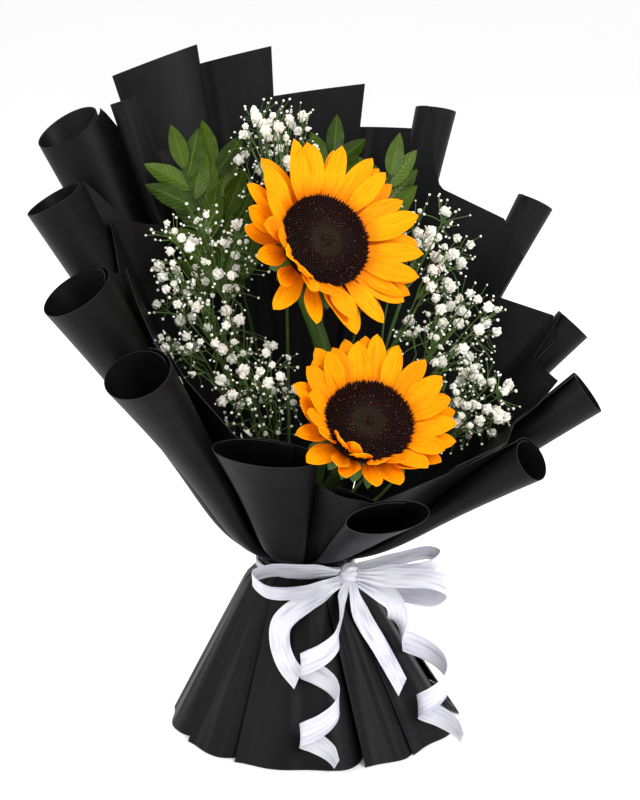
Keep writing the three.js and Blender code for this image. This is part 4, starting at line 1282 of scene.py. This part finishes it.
class BUNCH_OT_sprigs(bpy.types.Operator):
    """Makes the green sprigs with their leaves"""
    bl_idname = "bunch.sprigs"
    bl_label = "Sprigs"

    def execute(self, context):
        settings = context.scene.bunch_sprigs
        leaf = leaf_finish(settings)
        stem = green_finish("sprig stems", settings.colour, settings.pale_colour, 6.0)
        for seed, sprig in enumerate(SPRIGS):
            self.sprig(sprig, settings, leaf, stem, np.random.default_rng(90 + seed))
        return {"FINISHED"}

    def sprig(self, sprig, settings, leaf, stem, rng):
        """One sprig: a stem with leaves in turn left and right, smaller towards the tip."""
        tip = reach(sprig.azimuth, sprig.lean, sprig.length)
        low = reach(sprig.azimuth, sprig.lean, sprig.length * 0.45)
        axis = unit(tip - low)
        side = unit(np.cross([0, 1, 0], axis))
        face = np.cross(axis, side)
        pile = Pile()
        line = stem_line(sprig.slot, SPRIG_SLOT_R, [low, mix(low, tip, 0.5), tip], 70)
        tubes(pile, line[None], np.linspace(1.8, 0.9, 70), 8)
        pile.made(f"green_sprig_{sprig.name}_stem", stem, "green_stem", (), CRISP)
        pile = Pile()
        for k in range(settings.leaves):
            start = tip - axis * (LEAF_PITCH * k)
            turn = 0 if k == 0 else (34 + rng.uniform(-8, 16)) * (1 if k % 2 else -1)
            way = turned_about(axis, face, turn)
            way = unit(way + face * rng.uniform(-0.25, 0.3))
            across = unit(np.cross(face, way))
            up = np.cross(way, across)
            grow = 0.8 + 0.2 * min(k, 3) / 3
            length = settings.leaf_length / MM * grow * rng.uniform(0.9, 1.05)
            width = settings.leaf_width / MM * grow
            grid = leaf_grid(length, width, rng.uniform(0.1, 0.35), rng.uniform(0.02, 0.1))
            placed = start + grid[..., :1] * way + grid[..., 1:2] * across + grid[..., 2:] * up
            pile.shell(placed, 0.4, grid_uv(19, 11), rng.uniform())
        node = f"green_sprig_{sprig.name}"
        pile.made(f"{node}_leaves", leaf, "foliage", [node], CRISP)


# ---------- stem tie ----------
class BUNCH_OT_tie(bpy.types.Operator):
    """Makes the turns of twine that hold the stems"""
    bl_idname = "bunch.tie"
    bl_label = "Stem tie"

    def execute(self, context):
        """A helix of cord with the CAD tie's height and width."""
        settings = context.scene.bunch_tie
        low, high = box_mm("stem_tie")
        cord_r = (high[2] - low[2]) / (2 * settings.turns + 2)
        outer = (high[0] - low[0]) / 2
        share = np.linspace(0, 1, settings.turns * 48)
        height = mix(low[2] + cord_r, high[2] - cord_r, share)
        line = around(360 * settings.turns * share, outer - cord_r, height)
        pile = Pile()
        tubes(pile, line[None], cord_r * 0.96, 10)
        pile.made("stem_tie_twine", twine_finish(settings), "twine", ["stem_tie"], CRISP)
        return {"FINISHED"}


# ---------- stage ----------
FLOOR_HALF = 30.0  # half the floor's side, in metres
FLOOR_LINES = 9  # points along the floor's side
AIM_RIGHT = 0.01125  # how far right of the neck the camera aims, in metres
LIT_HEIGHT = 0.25  # height that the lights aim at, in metres
# place and side in metres, and power in watts
LIGHTS = {
    "key": ((1.1, -1.5, 1.7), 1.1, 34.0),
    "fill": ((-1.6, -1.3, 1.0), 1.4, 12.0),
    "back": ((0.3, 1.3, 1.5), 1.2, 16.0),
}


class BUNCH_OT_stage(bpy.types.Operator):
    """Makes the pale floor, the soft studio lights and the camera"""
    bl_idname = "bunch.stage"
    bl_label = "Stage"

    def execute(self, context):
        settings = context.scene.bunch_stage
        scene = context.scene
        scene.view_settings.view_transform = "Standard"
        self.floor(settings)
        for name, values in LIGHTS.items():
            self.light(name, *values)
        world = bpy.data.worlds.new("studio")
        world.use_nodes = True
        background = world.node_tree.nodes["Background"]
        background.inputs["Color"].default_value = (1.0, 1.0, 1.0, 1.0)
        background.inputs["Strength"].default_value = 1.0
        scene.world = world

        low, high = (np.array(corner) for corner in cad_bounds)
        target = np.array([NECK[0] + AIM_RIGHT, NECK[1], (low[2] + high[2]) / 2])
        away = np.array([0.0, -np.cos(settings.elevation), np.sin(settings.elevation)])
        data = bpy.data.cameras.new("camera")
        data.lens = settings.lens
        data.sensor_width = 36.0
        camera = bpy.data.objects.new("camera", data)
        camera.location = target + away * settings.distance
        camera.rotation_euler = Vector(-away).to_track_quat("-Z", "Y").to_euler()
        scene.collection.objects.link(camera)
        scene.camera = camera
        return {"FINISHED"}

    def floor(self, settings):
        """A wide level floor."""
        paint = Paint("floor", Roughness=0.7, Specular_IOR_Level=0.2)
        tint = paint.noise(3.0, 2.0)
        base = paint.blend(shade(settings.floor_colour, 0.985), shade(settings.floor_colour, 1.0), tint)
        lines = np.linspace(-FLOOR_HALF, FLOOR_HALF, FLOOR_LINES)
        x, y = np.meshgrid(lines, lines, indexing="ij")
        index = np.arange(FLOOR_LINES ** 2).reshape(FLOOR_LINES, FLOOR_LINES)
        mesh = bpy.data.meshes.new("floor")
        mesh.from_pydata(np.stack([x, y, 0 * x], -1).reshape(-1, 3).tolist(), [], quads(index).tolist())
        mesh.materials.append(paint.finished(base))
        floor = bpy.data.objects.new("floor", mesh)
        bpy.context.scene.collection.objects.link(floor)

    def light(self, name, place, size, power):
        """A square soft light that looks at the middle of the bunch."""
        data = bpy.data.lights.new(name, "AREA")
        data.size, data.energy = size, power
        light = bpy.data.objects.new(name, data)
        light.location = place
        away = Vector(place) - Vector((0, 0, LIT_HEIGHT))
        light.rotation_euler = away.to_track_quat("Z", "Y").to_euler()
        bpy.context.scene.collection.objects.link(light)


# ---------- add-on ----------
GROUPS = {
    "bunch_wrap": WrapSettings, "bunch_ribbon": RibbonSettings, "bunch_flowers": FlowerSettings,
    "bunch_sprays": SpraySettings, "bunch_sprigs": SprigSettings, "bunch_tie": TieSettings,
    "bunch_stage": StageSettings,
}
OPERATORS = [BUNCH_OT_stage, BUNCH_OT_wrap, BUNCH_OT_skirt, BUNCH_OT_ribbon, BUNCH_OT_flowers,
             BUNCH_OT_sprays, BUNCH_OT_sprigs, BUNCH_OT_tie]


class BUNCH_PT_panel(bpy.types.Panel):
    """Lists the operators that make the bunch, and their settings"""
    bl_idname = "BUNCH_PT_panel"
    bl_label = "Bunch of sunflowers"
    bl_space_type = "VIEW_3D"
    bl_region_type = "UI"
    bl_category = "Bunch"

    def draw(self, context):
        for operator in OPERATORS:
            self.layout.operator(operator.bl_idname)
        for group, settings in GROUPS.items():
            box = self.layout.box()
            for name in settings.__annotations__:
                box.prop(getattr(context.scene, group), name)


def register():
    """Adds the settings, operators and panel."""
    for kind in [*GROUPS.values(), *OPERATORS, BUNCH_PT_panel]:
        bpy.utils.register_class(kind)
    for name, kind in GROUPS.items():
        setattr(bpy.types.Scene, name, bpy.props.PointerProperty(type=kind))


def unregister():
    """Takes them away again."""
    for name in GROUPS:
        delattr(bpy.types.Scene, name)
    for kind in reversed([*GROUPS.values(), *OPERATORS, BUNCH_PT_panel]):
        bpy.utils.unregister_class(kind)


def main():
    """Makes the whole bunch."""
    register()
    bpy.ops.bunch.stage()
    bpy.ops.bunch.wrap()
    bpy.ops.bunch.skirt()
    bpy.ops.bunch.ribbon()
    bpy.ops.bunch.flowers()
    bpy.ops.bunch.sprays()
    bpy.ops.bunch.sprigs()
    bpy.ops.bunch.tie()


if __name__ == "__main__":
    main()
